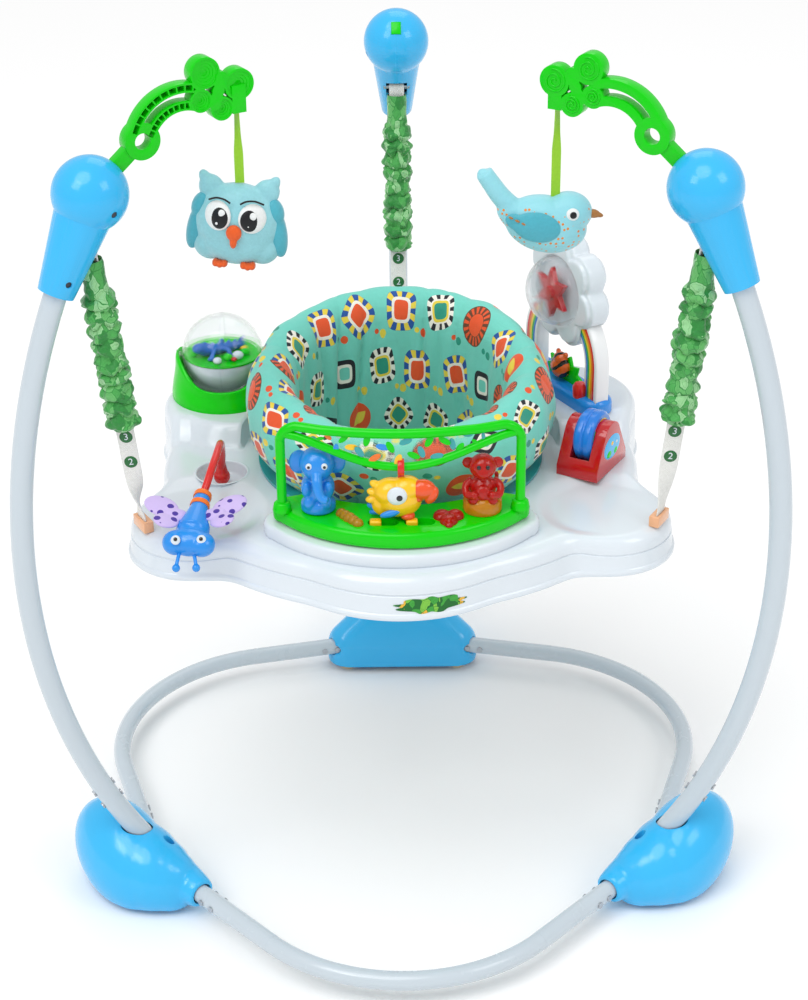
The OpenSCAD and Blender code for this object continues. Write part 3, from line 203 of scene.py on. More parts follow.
class Graph:
    """A material's node tree in the making, round one principled shader."""

    def __init__(self, name: str) -> None:
        """Starts a material.

        Args:
            name: The material's name.
        """
        self.material = bpy.data.materials.new(name)
        self.material.use_nodes = True
        self.tree = self.material.node_tree
        self.tree.nodes.clear()
        self.shader = self.tree.nodes.new("ShaderNodeBsdfPrincipled")
        out = self.tree.nodes.new("ShaderNodeOutputMaterial")
        self.tree.links.new(self.shader.outputs[0], out.inputs[0])

    def feed(self, socket: Socket, value: Socket | float | Sequence[float]) -> None:
        """Links a socket to an input, or sets the input's value.

        Args:
            socket: The input.
            value: A socket, a number, a vector or a colour.
        """
        if isinstance(value, bpy.types.NodeSocket):
            self.tree.links.new(value, socket)
        else:
            socket.default_value = value

    def set(self, **values: Socket | float | Sequence[float]) -> None:
        """Sets the shader's inputs, by their names with _ for a space."""
        for key, value in values.items():
            self.feed(self.shader.inputs[key.replace("_", " ")], value)

    def node(self, kind: str, inputs: dict | None = None, **settings: object) -> bpy.types.Node:
        """Adds a node.

        Args:
            kind: The node's type, without its ShaderNode prefix.
            inputs: Values for its inputs, by name or place.
            **settings: The node's own settings.

        Returns:
            The node.
        """
        made = self.tree.nodes.new("ShaderNode" + kind)
        for key, value in settings.items():
            setattr(made, key, value)
        for key, value in (inputs or {}).items():
            self.feed(made.inputs[key], value)
        return made

    def math(self, operation: str, a: Socket | float, b: Socket | float = 0.0, c: float = 0.0) -> Socket:
        """One step of arithmetic on two numbers, or on three."""
        return self.node("Math", {0: a, 1: b, 2: c}, operation=operation).outputs[0]

    def vector(self, operation: str, a: Socket, b: Socket | Point) -> Socket:
        """One step of arithmetic on two vectors."""
        return self.node("VectorMath", {0: a, 1: b}, operation=operation).outputs[0]

    def far(self, x: Socket, y: Socket) -> Socket:
        """How far a point in a plane is from the origin."""
        flat = self.node("CombineXYZ", {0: x, 1: y}).outputs[0]
        return self.node("VectorMath", {0: flat}, operation="LENGTH").outputs["Value"]

    def mix(self, share: Socket | float, a: Socket | Sequence[float], b: Socket | Sequence[float]) -> Socket:
        """A colour between a and b by a share.

        Args:
            share: How much of b shows.
            a: The first colour.
            b: The second colour.

        Returns:
            The colour.
        """
        made = self.node("Mix", {0: share}, data_type="RGBA")
        self.feed(made.inputs[6], a if isinstance(a, bpy.types.NodeSocket) else (*a, 1.0))
        self.feed(made.inputs[7], b if isinstance(b, bpy.types.NodeSocket) else (*b, 1.0))
        return made.outputs[2]

    def ramp(self, share: Socket, stops: Sequence[tuple[float, Colour]], steps: bool = True) -> Socket:
        """A colour ramp.

        Args:
            share: Where on the ramp to read.
            stops: Places and colours in rising order.
            steps: Whether the colours change at once at each stop.

        Returns:
            The colour.
        """
        made = self.node("ValToRGB", {0: share})
        ramp = made.color_ramp
        ramp.interpolation = "CONSTANT" if steps else "LINEAR"
        while len(ramp.elements) < len(stops):
            ramp.elements.new(0.5)
        for element, (place, colour) in zip(ramp.elements, stops):
            element.position = place
            element.color = (*colour, 1.0)
        return made.outputs[0]

    def point(self, turn: float = 0.0, at: Point = (0.0, 0.0, 0.0)) -> Socket:
        """The piece's own coordinates, about a point and turned about Z.

        Args:
            turn: The turn of the pattern's axes in degrees.
            at: The pattern's origin, in metres.

        Returns:
            The coordinates.
        """
        place = self.node("TexCoord").outputs["Object"]
        if turn or any(at):
            moved = self.vector("SUBTRACT", place, tuple(at))
            angle = math.radians(-turn)
            place = self.node("VectorRotate", {"Vector": moved, "Angle": angle},
                              rotation_type="Z_AXIS").outputs[0]
        return place

    def xyz(self, vector: Socket) -> list[Socket]:
        """The three numbers of a vector."""
        return list(self.node("SeparateXYZ", {0: vector}).outputs)

    def speckle(self, scale: float, detail: float = 2.0, vector: Socket | None = None) -> Socket:
        """Noise from 0 to 1 on the piece's own coordinates, or on others."""
        inputs = {"Vector": vector or self.point(), "Scale": scale, "Detail": detail}
        return self.node("TexNoise", inputs).outputs["Fac"]

    def relief(self, height: Socket, strength: float, depth: float, under: Socket | None = None) -> Socket:
        """A bump on the surface.

        Args:
            height: The relief's height.
            strength: How much of it shows.
            depth: Its depth in metres.
            under: A relief that it lies on.

        Returns:
            The normal.
        """
        inputs = {"Height": height, "Strength": strength, "Distance": depth}
        if under is not None:
            inputs["Normal"] = under
        return self.node("Bump", inputs).outputs[0]


class Finish(ABC):
    """A finish that makes its material once."""

    made: dict["Finish", bpy.types.Material] = {}

    @abstractmethod
    def dress(self, graph: Graph) -> None:
        """Builds the finish's nodes."""

    def material(self) -> bpy.types.Material:
        """The finish's material, made at its first use.

        Returns:
            The material.
        """
        if self not in Finish.made:
            graph = Graph(getattr(self, "name"))
            self.dress(graph)
            Finish.made[self] = graph.material
        return Finish.made[self]


@dataclass(frozen=True)
class Moulding(Finish):
    """Moulded plastic: faint flow in its colour, a fine skin, and a gloss that wavers a little."""

    name: str
    colour: Colour
    gloss: float = 0.22
    coat: float = 0.25
    flow: float = 0.06
    shine: float = 0.5

    def tint(self, graph: Graph) -> Socket:
        """The moulding's colour, with darker flow in it."""
        dark = dim(self.colour, 1 - self.flow)
        return graph.mix(graph.speckle(9.0, 3.0), dark, self.colour)

    def dress(self, graph: Graph) -> None:
        """Builds the finish's nodes.

        Args:
            graph: The finish's nodes.
        """
        gloss = graph.math("MULTIPLY_ADD", graph.speckle(60.0), 0.08, self.gloss - 0.04)
        skin = graph.relief(graph.speckle(700.0, 1.0), 0.05, 0.0004)
        graph.set(Base_Color=self.tint(graph), Roughness=gloss, Normal=skin)
        graph.set(Coat_Weight=self.coat, Coat_Roughness=0.06, IOR=1.5, Specular_IOR_Level=self.shine)


@dataclass(frozen=True)
class TubePaint(Finish):
    """Gloss paint on steel tube, with a slight orange peel and dull scuffs near the floor."""

    name: str
    colour: Colour

    def dress(self, graph: Graph) -> None:
        """Builds the finish's nodes.

        Args:
            graph: The finish's nodes.
        """
        height = graph.xyz(graph.point())[2]
        fade = [(0.0, (1, 1, 1)), (0.4, (0, 0, 0))]
        low = graph.ramp(graph.math("MULTIPLY", height, 4.0), fade, steps=False)
        scuff = graph.math("GREATER_THAN", graph.speckle(55.0, 6.0), 0.62)
        worn = graph.math("MULTIPLY", graph.math("MULTIPLY", scuff, low), 0.35)
        dull = dim(self.colour, 0.86)
        tone = graph.mix(graph.speckle(4.0), dim(self.colour, 0.97), self.colour)
        rough = graph.math("MULTIPLY_ADD", worn, 0.6, 0.2)
        peel = graph.relief(graph.speckle(420.0, 1.0), 0.06, 0.0004)
        graph.set(Base_Color=graph.mix(worn, tone, dull), Roughness=rough, Normal=peel)
        graph.set(Coat_Weight=0.35, Coat_Roughness=0.08)


@dataclass(frozen=True)
class Plated(Finish):
    """Zinc plated steel with fine brushing."""

    name: str
    colour: Colour
    gloss: float = 0.32

    def dress(self, graph: Graph) -> None:
        """Builds the finish's nodes.

        Args:
            graph: The finish's nodes.
        """
        grain = graph.speckle(900.0, 2.0)
        rough = graph.math("MULTIPLY_ADD", grain, 0.18, self.gloss)
        graph.set(Base_Color=graph.mix(grain, dim(self.colour, 0.8), self.colour), Roughness=rough)
        graph.set(Metallic=1.0, Normal=graph.relief(grain, 0.08, 0.0003))


@dataclass(frozen=True)
class Rubber(Finish):
    """Soft moulded rubber with a dusty bloom."""

    name: str
    colour: Colour

    def dress(self, graph: Graph) -> None:
        """Builds the finish's nodes.

        Args:
            graph: The finish's nodes.
        """
        bloom = graph.speckle(130.0, 5.0)
        pale = tuple(min(1.0, c * 1.15) for c in self.colour)
        graph.set(Base_Color=graph.mix(bloom, self.colour, pale), Normal=graph.relief(bloom, 0.25, 0.0006))
        graph.set(Roughness=0.78, Specular_IOR_Level=0.3)


@dataclass(frozen=True)
class Clear(Finish):
    """Clear or tinted moulded plastic."""

    name: str
    colour: Colour
    through: float = 0.95
    gloss: float = 0.06
    body: float = 1.0
    bend: float = 1.35
    coat: float = 0.2

    def dress(self, graph: Graph) -> None:
        """Builds the finish's nodes.

        Args:
            graph: The finish's nodes.
        """
        tone = graph.mix(graph.speckle(14.0), dim(self.colour, 0.94), self.colour)
        graph.set(Base_Color=tone, Normal=graph.relief(graph.speckle(90.0, 1.0), 0.04, 0.0004))
        graph.set(Transmission_Weight=self.through, Roughness=self.gloss, IOR=self.bend, Alpha=self.body)
        graph.set(Coat_Weight=self.coat, Coat_Roughness=0.03)


@dataclass(frozen=True)
class Cloth(Finish):
    """Plain woven cloth of one colour with soft wrinkles."""

    name: str
    colour: Colour
    weave: Weave = Weave.PLAIN
    sheen: float = 0.3
    rough: float = 0.75
    crumple: float = 0.35
    wrinkle: float = 45.0

    def tint(self, graph: Graph) -> Socket:
        """The cloth's colour, which wavers from thread to thread."""
        dark = dim(self.colour, 0.82)
        return graph.mix(graph.speckle(340.0, 3.0), dark, self.colour)

    def threads(self, graph: Graph) -> Socket:
        """The relief of the weave, over the wrinkles.

        Args:
            graph: The finish's nodes.

        Returns:
            The normal.
        """
        count, depth = self.weave.value
        x, y, z = graph.xyz(graph.point())
        across = graph.math("SINE", graph.math("MULTIPLY", graph.math("ADD", x, y), count * 2.2))
        along = graph.math("SINE", graph.math("MULTIPLY", z, count * 2.2))
        wrinkle = graph.relief(graph.speckle(self.wrinkle, 4.0), self.crumple, 0.004)
        return graph.relief(graph.math("MULTIPLY", across, along), depth, 0.0005, wrinkle)

    def dress(self, graph: Graph) -> None:
        """Builds the finish's nodes."""
        graph.set(Base_Color=self.tint(graph), Normal=self.threads(graph), Roughness=self.rough)
        graph.set(Sheen_Weight=self.sheen, Sheen_Roughness=0.45, Specular_IOR_Level=0.3)


@dataclass(frozen=True)
class LeafCloth(Cloth):
    """Thin printed cloth with overlapping leaves in several greens, each with a dark outline."""

    dark: Colour = srgb("2F8A3C")
    middle: Colour = srgb("66B866")
    pale: Colour = srgb("95D092")
    spread: float = 105.0

    def tint(self, graph: Graph) -> Socket:
        """The leaves: cells stretched along the cloth, toned one by one, with outlines and veins.

        Args:
            graph: The finish's nodes.

        Returns:
            The colour.
        """
        place = graph.point()
        wobble = graph.node("TexNoise", {"Vector": place, "Scale": 70.0, "Detail": 2.0}).outputs["Color"]
        offset = graph.vector("MULTIPLY", wobble, (0.012, 0.012, 0.012))
        bent = graph.vector("ADD", place, offset)
        long = graph.vector("MULTIPLY", bent, (1.0, 1.0, 0.62))
        inputs = {"Vector": long, "Scale": self.spread}
        draw = graph.node("TexVoronoi", inputs).outputs["Color"]
        edge = graph.node("TexVoronoi", inputs, feature="DISTANCE_TO_EDGE").outputs["Distance"]
        tone = graph.xyz(draw)[0]
        leaf = graph.ramp(tone,
                          [(0.0, self.dark), (0.28, self.colour), (0.55, self.middle), (0.8, self.pale)])
        vein = graph.math("LESS_THAN", graph.math("ABSOLUTE", graph.math("SUBTRACT", edge, 0.2)), 0.018)
        veined = graph.mix(graph.math("MULTIPLY", vein, 0.4), leaf, self.dark)
        return graph.mix(graph.math("LESS_THAN", edge, 0.035), veined, self.dark)


@dataclass(frozen=True)
class MotifCloth(Cloth):
    """Printed seat cloth: rounded squares, suns and leaf discs with dots between, on a map of cells."""

    map_name: str = "cells"
    orange: Colour = srgb("F15A2B")
    white: Colour = srgb("FBF7EC")
    navy: Colour = srgb("2456A6")
    black: Colour = srgb("22232B")
    yellow: Colour = srgb("F4DA4C")
    green: Colour = srgb("2C9C85")
    brown: Colour = srgb("6B4026")

    def dashed(self, graph: Graph, angle: Socket, count: float, inks: tuple[Colour, Colour]) -> Socket:
        """Dashes of two inks round a motif."""
        wave = graph.math("SINE", graph.math("MULTIPLY", angle, count))
        return graph.mix(graph.math("GREATER_THAN", wave, 0.0), inks[0], inks[1])

    def ringed(self, graph: Graph, span: Socket, low: float, high: float, under: Socket,
               over: Socket) -> Socket:
        """Lays one colour over another in a ring between two reaches of a motif."""
        inside = [graph.math("GREATER_THAN", span, low), graph.math("LESS_THAN", span, high)]
        return graph.mix(graph.math("MULTIPLY", *inside), under, over)

    def tint(self, graph: Graph) -> Socket:
        """The print: one motif to a cell, each turned and chosen by its own draw.

        Args:
            graph: The finish's nodes.

        Returns:
            The colour.
        """
        u, v, _ = graph.xyz(graph.node("UVMap", uv_map=self.map_name).outputs[0])
        row = graph.math("FLOOR", v)
        u = graph.math("ADD", u, graph.math("MULTIPLY", graph.math("MODULO", row, 2.0), 0.5))
        cell = graph.node("CombineXYZ", {0: graph.math("FLOOR", u), 1: row}).outputs[0]
        draws = graph.node("TexWhiteNoise", {"Vector": cell}, noise_dimensions="2D").outputs["Color"]
        first, second, third = graph.xyz(draws)
        x = graph.math("SUBTRACT", graph.math("FRACT", u), 0.5)
        y = graph.math("SUBTRACT", graph.math("FRACT", v), 0.5)
        strays = [graph.math("MULTIPLY", graph.math("SUBTRACT", draw, 0.5), 0.12) for draw in (second, first)]
        astray = [graph.math("ADD", c, stray) for c, stray in zip((x, y), strays)]
        flat = graph.node("CombineXYZ", dict(enumerate(astray))).outputs[0]
        spin = {"Vector": flat, "Angle": graph.math("MULTIPLY", first, TURN)}
        turned = graph.node("VectorRotate", spin, rotation_type="Z_AXIS").outputs[0]
        tx, ty, _ = graph.xyz(turned)
        fourth = [graph.math("POWER", graph.math("ABSOLUTE", c), 4.0) for c in (tx, ty)]
        square = graph.math("POWER", graph.math("ADD", *fourth), 0.25)
        disc = graph.far(tx, ty)
        angle = graph.math("ARCTAN2", ty, tx)
        colour = self.motifs(graph, square, disc, angle, (tx, ty), third)
        return self.dots(graph, colour, (x, y), second)

    def motifs(self, graph: Graph, square: Socket, disc: Socket, angle: Socket, at: tuple[Socket, Socket],
               draw: Socket) -> Socket:
        """The five motifs, of which each cell shows one.

        Args:
            graph: The finish's nodes.
            square: Reach from the motif's middle, measured as a rounded square.
            disc: Reach from the motif's middle.
            angle: Direction from the motif's middle.
            at: The point in the motif's own axes.
            draw: The cell's draw from 0 to 1.

        Returns:
            The colour.
        """
        cloth = self.colour
        window = graph.ramp(square,
                            [(0.0, self.orange), (0.165, self.white), (0.225, self.navy), (0.34, cloth)])
        dashes = self.dashed(graph, angle, 9.0, (self.navy, self.yellow))
        window = self.ringed(graph, square, 0.225, 0.34, window, dashes)
        check = graph.ramp(square,
                           [(0.0, self.green), (0.145, self.yellow), (0.195, self.white), (0.225, cloth)])
        dashes = self.dashed(graph, angle, 11.0, (self.black, self.white))
        check = self.ringed(graph, square, 0.225, 0.315, check, dashes)
        frame = graph.ramp(square, [(0.0, cloth), (0.11, self.white), (0.175, self.black), (0.265, cloth)])
        sun = graph.ramp(disc, [(0.0, self.orange), (0.2, self.brown), (0.37, cloth)])
        dashes = self.dashed(graph, angle, 16.0, (self.brown, self.orange))
        sun = self.ringed(graph, disc, 0.215, 0.35, sun, dashes)
        bow = graph.math("MULTIPLY", graph.math("MULTIPLY", at[0], at[0]), 2.2)
        lens = graph.math("ADD", graph.math("ABSOLUTE", at[1]), bow)
        leaf = graph.ramp(disc, [(0.0, self.orange), (0.3, cloth)])
        leaf = graph.mix(graph.math("LESS_THAN", lens, 0.1), leaf, self.yellow)
        colour = window
        for limit, other in ((0.28, check), (0.48, leaf), (0.64, frame), (0.8, sun)):
            colour = graph.mix(graph.math("GREATER_THAN", draw, limit), colour, other)
        return colour

    def dots(self, graph: Graph, under: Socket, at: tuple[Socket, Socket], draw: Socket) -> Socket:
        """Lays small dots between the motifs, and the shade of the threads over all.

        Args:
            graph: The finish's nodes.
            under: The motifs.
            at: The point in its cell.
            draw: The cell's draw from 0 to 1.

        Returns:
            The colour.
        """
        inks = graph.ramp(draw,
                          [(0.0, self.yellow), (0.35, self.orange), (0.6, self.green), (0.85, self.yellow)])
        for x, y, size in ((0.415, 0.4, 0.078), (-0.43, 0.36, 0.055)):
            far = graph.far(graph.math("SUBTRACT", at[0], x), graph.math("SUBTRACT", at[1], y))
            under = graph.mix(graph.math("LESS_THAN", far, size), under, inks)
        return graph.mix(graph.math("MULTIPLY", graph.speckle(240.0, 3.0), 0.06), under, (0.02, 0.05, 0.06))


@dataclass(frozen=True)
class DotCloth(Cloth):
    """Plain cloth printed with round dots."""

    dot: Colour = srgb("6A3FA3")
    spread: float = 95.0
    reach: float = 0.27
    top: float = 9.0

    def tint(self, graph: Graph) -> Socket:
        """The dots, scattered one to a cell.

        Args:
            graph: The finish's nodes.

        Returns:
            The colour.
        """
        inputs = {"Vector": graph.point(), "Scale": self.spread, "Randomness": 0.55}
        near = graph.math("LESS_THAN", graph.node("TexVoronoi", inputs).outputs["Distance"], self.reach)
        low = graph.math("LESS_THAN", graph.xyz(graph.point())[2], self.top)
        return graph.mix(graph.math("MULTIPLY", near, low), self.colour, self.dot)


@dataclass(frozen=True)
class Rainbow(Moulding):
    """White moulding with bands that follow an arch, printed between two radii."""

    inner: float = 0.056
    outer: float = 0.074

    def tint(self, graph: Graph) -> Socket:
        """The bands, by the distance from the arch's line.

        Args:
            graph: The finish's nodes.

        Returns:
            The colour.
        """
        centre = PLAN.arch().translation
        _, y, z = graph.xyz(graph.point(30.0, (centre.x, centre.y, PLAN.arch_mid_z * MM)))
        up = graph.math("MAXIMUM", z, 0.0)
        out = graph.far(y, up)
        share = graph.math("DIVIDE", graph.math("SUBTRACT", out, self.inner), self.outer - self.inner)
        bands = [srgb(c) for c in ("2F7FD6", "37B34A", "F9D71C", "F58220", "E3262B")]
        printed = [(0.02 + 0.19 * i, c) for i, c in enumerate(bands)]
        return graph.ramp(share, [(0.0, self.colour), *printed, (0.97, self.colour)])


@dataclass(frozen=True)
class Striped(Moulding):
    """Moulding with dark, wavering stripes across one direction."""

    dark: Colour = srgb("1B1612")
    pitch: float = 380.0
    turn: float = 30.0

    def tint(self, graph: Graph) -> Socket:
        """The stripes.

        Args:
            graph: The finish's nodes.

        Returns:
            The colour.
        """
        _, y, z = graph.xyz(graph.point(self.turn))
        wave = graph.math("MULTIPLY", graph.speckle(60.0, 2.0), 3.4)
        way = graph.math("MULTIPLY", graph.math("ADD", y, z), self.pitch)
        line = graph.math("SINE", graph.math("ADD", way, wave))
        return graph.mix(graph.math("GREATER_THAN", line, 0.55), self.colour, self.dark)


@dataclass(frozen=True)
class Pie(Moulding):
    """Moulding with coloured sectors about an axle."""

    at: tuple[float, float, float] = (0.0, 0.0, 0.0)
    turn: float = 0.0
    core: float = 0.024

    def tint(self, graph: Graph) -> Socket:
        """The sectors, inside the core's radius.

        Args:
            graph: The finish's nodes.

        Returns:
            The colour.
        """
        _, y, z = graph.xyz(graph.point(self.turn, self.at))
        share = graph.math("FRACT", graph.math("MULTIPLY_ADD", graph.math("ARCTAN2", z, y), 3 / TURN, 0.5))
        inks = [srgb(c) for c in ("F9D71C", "E3262B", "37B34A")]
        sectors = graph.ramp(share, [(i / 3, c) for i, c in enumerate(inks)])
        out = graph.far(y, z)
        return graph.mix(graph.math("LESS_THAN", out, self.core), self.colour, sectors)


class Shade:
    """The finishes of this jumper."""

    paint = TubePaint("tube_paint", srgb("C6D1D9"))
    sky = Moulding("sky_blue_moulding", srgb("36BAF5"), gloss=0.2, shine=0.4)
    leaf = Moulding("leaf_green_moulding", srgb("08D204"), coat=0.1, shine=0.25)
    white = Moulding("white_moulding", srgb("DDE5EC"), gloss=0.2, coat=0.3, flow=0.02)
    red = Moulding("red_moulding", srgb("DE1F1B"))
    cobalt = Moulding("cobalt_moulding", srgb("1468C4"))
    wine = Moulding("deep_red_moulding", srgb("C4121A"), gloss=0.14, coat=0.5)
    blue = Moulding("blue_moulding", srgb("1F8EE8"))
    yellow = Moulding("yellow_moulding", srgb("FFC81A"))
    orange = Moulding("orange_moulding", srgb("F4761B"))
    coral = Moulding("coral_moulding", srgb("F0541E"))
    peach = Moulding("peach_moulding", srgb("F0B386"))
    black = Moulding("black_moulding", srgb("17181C"), gloss=0.15)
    teal = Moulding("teal_moulding", srgb("2FA3A8"))
    ink = Moulding("dark_green_disc", srgb("1F6B34"), gloss=0.45, coat=0.0)
    steel = Plated("plated_steel", srgb("C3C6CB"))
    dark_steel = Plated("dark_screw_steel", srgb("55585E"), gloss=0.4)
    pad = Rubber("tan_rubber", srgb("D8C6A0"))
    clear = Clear("clear_moulding", (0.93, 0.96, 0.98), through=1.0, gloss=0.02,
                  body=0.5, bend=1.08, coat=0.8)
    panel = Clear("clear_panel", (0.96, 1.0, 0.95), through=1.0, gloss=0.04, body=0.6, bend=1.08, coat=0.8)
    amber = Clear("amber_lens", srgb("F5A21E"), through=0.55, gloss=0.12)
    ruby = Clear("ruby_lens", srgb("E0231C"), through=0.5, gloss=0.1)
    seat = MotifCloth("seat_print", srgb("79D8C8"), sheen=0.25, rough=0.6, crumple=0.4)
    leaves = LeafCloth("leaf_cloth", srgb("4CA852"), weave=Weave.SATIN, rough=0.36, crumple=0.9, wrinkle=95.0)
    sticker = LeafCloth("leaf_sticker", srgb("3FA23C"), weave=Weave.SATIN, sheen=0.0, rough=0.3, crumple=0.05,
                        dark=srgb("1E6B2C"), middle=srgb("7CC244"), pale=srgb("E9B43A"), spread=150.0)
    webbing = Cloth("white_webbing", srgb("F4F4F0"), weave=Weave.WEBBING, sheen=0.15, rough=0.7, crumple=0.05)
    ribbon = Cloth("lime_ribbon", srgb("9BD430"), weave=Weave.SATIN, rough=0.5, crumple=0.1)
    lilac = DotCloth("lilac_dots", srgb("CDB8EA"), sheen=0.25, rough=0.7, crumple=0.15,
                     dot=srgb("4B3399"), spread=78.0, reach=0.3)
    aqua = Cloth("aqua_satin", srgb("98D6E0"), weave=Weave.SATIN, sheen=0.4, rough=0.36, crumple=0.6)
    deep_aqua = Cloth("deep_aqua_satin", srgb("4FB3C6"), weave=Weave.SATIN, sheen=0.5,
                      rough=0.42, crumple=0.5)
    brown_cloth = Cloth("tan_satin", srgb("B5793F"), weave=Weave.SATIN, sheen=0.4, rough=0.45, crumple=0.3)
    white_cloth = Cloth("white_satin", srgb("F5F7F7"), weave=Weave.SATIN, rough=0.5, crumple=0.2)
    black_cloth = Cloth("black_satin", srgb("15161A"), weave=Weave.SATIN, sheen=0.2, rough=0.4, crumple=0.2)
    orange_cloth = Cloth("orange_satin", srgb("F0601F"), weave=Weave.SATIN, rough=0.5, crumple=0.2)
    bird_cloth = DotCloth("speckled_aqua", srgb("93D6E2"), weave=Weave.SATIN, sheen=0.4, rough=0.36,
                          crumple=0.6, dot=srgb("E58A3A"), spread=170.0, reach=0.27, top=0.858)


def placed(name: str, data: bpy.types.ID) -> bpy.types.Object:
    """A new object in the scene.

    Args:
        name: Its name.
        data: The mesh, text, lamp or camera that it shows.

    Returns:
        The object.
    """
    made = bpy.data.objects.new(name, data)
    bpy.context.scene.collection.objects.link(made)
    return made


def evaluated(source: bpy.types.Object) -> bpy.types.Mesh:
    """The mesh of an object as its modifiers or its text give it."""
    graph = bpy.context.evaluated_depsgraph_get()
    return bpy.data.meshes.new_from_object(source.evaluated_get(graph))


class Blank:
    """A mesh in the making, with the operators that the pieces share. Sizes here are in millimetres."""

    def __init__(self, place: Matrix | None = None) -> None:
        """Starts an empty mesh."""
        self.bm = bmesh.new()
        self.place = place or PLAN.shift()

    @classmethod
    def of_node(cls, node: str) -> "Blank":
        """A merged copy of a CAD node's mesh.

        Args:
            node: The node's name.

        Returns:
            The blank.
        """
        blank = cls(Matrix.Identity(4))
        blank.bm.from_mesh(bpy.data.objects[node].data)
        bmesh.ops.remove_doubles(blank.bm, verts=blank.bm.verts, dist=0.02 * MM)
        return blank

    @classmethod
    def taken(cls, source: bpy.types.Object) -> "Blank":
        """Takes an object's mesh back into the making, and removes the object.

        Args:
            source: The object.

        Returns:
            The blank.
        """
        blank = cls()
        blank.bm.from_mesh(source.data)
        bpy.data.objects.remove(source)
        return blank

    def matrix(self, at: Point, turn: Point = (0.0, 0.0, 0.0)) -> Matrix:
        """Axes at a point, turned about X, then Y, then Z by degrees.

        Args:
            at: The point.
            turn: The three turns.

        Returns:
            The axes.
        """
        spin = Matrix.Identity(4)
        for angle, axis in zip(turn, "XYZ"):
            spin = rotated(angle, axis) @ spin
        return self.place @ shifted(*at) @ spin

    def ball(self, at: Point, size: float | Point, turn: Point = (0.0, 0.0, 0.0),
             facets: int = 24) -> "Blank":
        """Adds a ball or an egg.

        Args:
            at: Its middle.
            size: Its radius, or three radii.
            turn: Its turn about X, Y and Z in degrees.
            facets: Its faces round.

        Returns:
            The blank.
        """
        radii = (size,) * 3 if isinstance(size, (int, float)) else size
        shape = self.matrix(at, turn) @ Matrix.Diagonal((*mm(*radii), 1.0))
        rings = max(8, facets // 2)
        bmesh.ops.create_uvsphere(self.bm, u_segments=facets, v_segments=rings, radius=1, matrix=shape)
        return self

    def tube(self, points: Iterable[Point], radius: float | Sequence[float], sides: int = 16) -> "Blank":
        """Adds a round bar along points, swept ring by ring.

        Args:
            points: The bar's centre line.
            radius: Its radius, or one for each point.
            sides: Its faces round.

        Returns:
            The blank.
        """
        line = [self.place @ mm(*p) for p in points]
        radii = [radius] * len(line) if isinstance(radius, (int, float)) else list(radius)
        way = (line[1] - line[0]).normalized()
        axes = way.to_track_quat("Z", "Y").to_matrix().to_4x4()
        ring = Matrix.Translation(line[0]) @ axes
        made = bmesh.ops.create_circle(self.bm, cap_ends=True, radius=radii[0] * MM,
                                       segments=sides, matrix=ring)
        verts = set(made["verts"])
        edges = [e for e in self.bm.edges if e.verts[0] in verts and e.verts[1] in verts]
        for i in range(1, len(line)):
            ahead = line[min(i + 1, len(line) - 1)] - line[i - 1]
            bend = way.rotation_difference(ahead.normalized()).to_matrix().to_4x4()
            way = ahead.normalized()
            axes = bend @ axes
            grow = radii[i] / radii[i - 1]
            then = Matrix.Translation(line[i]) @ axes
            made = bmesh.ops.extrude_edge_only(self.bm, edges=edges)
            verts = [g for g in made["geom"] if isinstance(g, bmesh.types.BMVert)]
            edges = [g for g in made["geom"] if isinstance(g, bmesh.types.BMEdge)]
            move = then @ Matrix.Diagonal((grow, grow, grow, 1.0)) @ ring.inverted()
            bmesh.ops.transform(self.bm, matrix=move, verts=verts)
            ring = then
        bmesh.ops.holes_fill(self.bm, edges=edges, sides=sides)
        return self

    def lathe(self, profile: Iterable[tuple[float, float]], steps: int = 64, closed: bool = False,
              at: Point = (0.0, 0.0, 0.0), turn: Point = (0.0, 0.0, 0.0)) -> "Blank":
        """Adds a turned form.

        Args:
            profile: Radius and height of each point.
            steps: Its faces round.
            closed: Whether the profile's ends join.
            at: The foot of its axis.
            turn: The axis's turn about X, Y and Z in degrees.

        Returns:
            The blank.
        """
        axes = self.matrix(at, turn)
        verts = [self.bm.verts.new(axes @ mm(r, 0, z)) for r, z in profile]
        edges = [self.bm.edges.new(pair) for pair in zip(verts, verts[1:])]
        if closed:
            edges.append(self.bm.edges.new((verts[-1], verts[0])))
        axis = axes.to_3x3() @ Vector((0, 0, 1))
        bmesh.ops.spin(self.bm, geom=verts + edges, cent=axes.translation, axis=axis, angle=TURN,
                       steps=steps, use_merge=True)
        bmesh.ops.remove_doubles(self.bm, verts=self.bm.verts, dist=0.002 * MM)
        return self

    def plate(self, outline: Iterable[tuple[float, float]], thick: float, at: Point = (0.0, 0.0, 0.0),
              turn: Point = (0.0, 0.0, 0.0)) -> "Blank":
        """Adds a flat form of an outline, thick along its own Z.

        Args:
            outline: Its corners.
            thick: Its thickness.
            at: Its origin.
            turn: Its turn about X, Y and Z in degrees.

        Returns:
            The blank.
        """
        axes = self.matrix(at, turn)
        verts = [self.bm.verts.new(axes @ mm(x, y, 0)) for x, y in outline]
        face = self.bm.faces.new(verts)
        made = bmesh.ops.extrude_face_region(self.bm, geom=[face])
        top = [g for g in made["geom"] if isinstance(g, bmesh.types.BMVert)]
        bmesh.ops.translate(self.bm, vec=axes.to_3x3() @ mm(0, 0, thick), verts=top)
        return self

    def band(self, length: float, width: float, parts: tuple[int, int] = (60, 4)) -> "Blank":
        """Adds a flat band along Z, with its width along Y.

        Args:
            length: Its length.
            width: Its width.
            parts: Its faces along and across.

        Returns:
            The blank.
        """
        shape = self.place @ rotated(90, "Y") @ Matrix.Diagonal((length * MM / 2, width * MM / 2, 1.0, 1.0))
        bmesh.ops.create_grid(self.bm, x_segments=parts[0], y_segments=parts[1], size=1.0, matrix=shape)
        return self

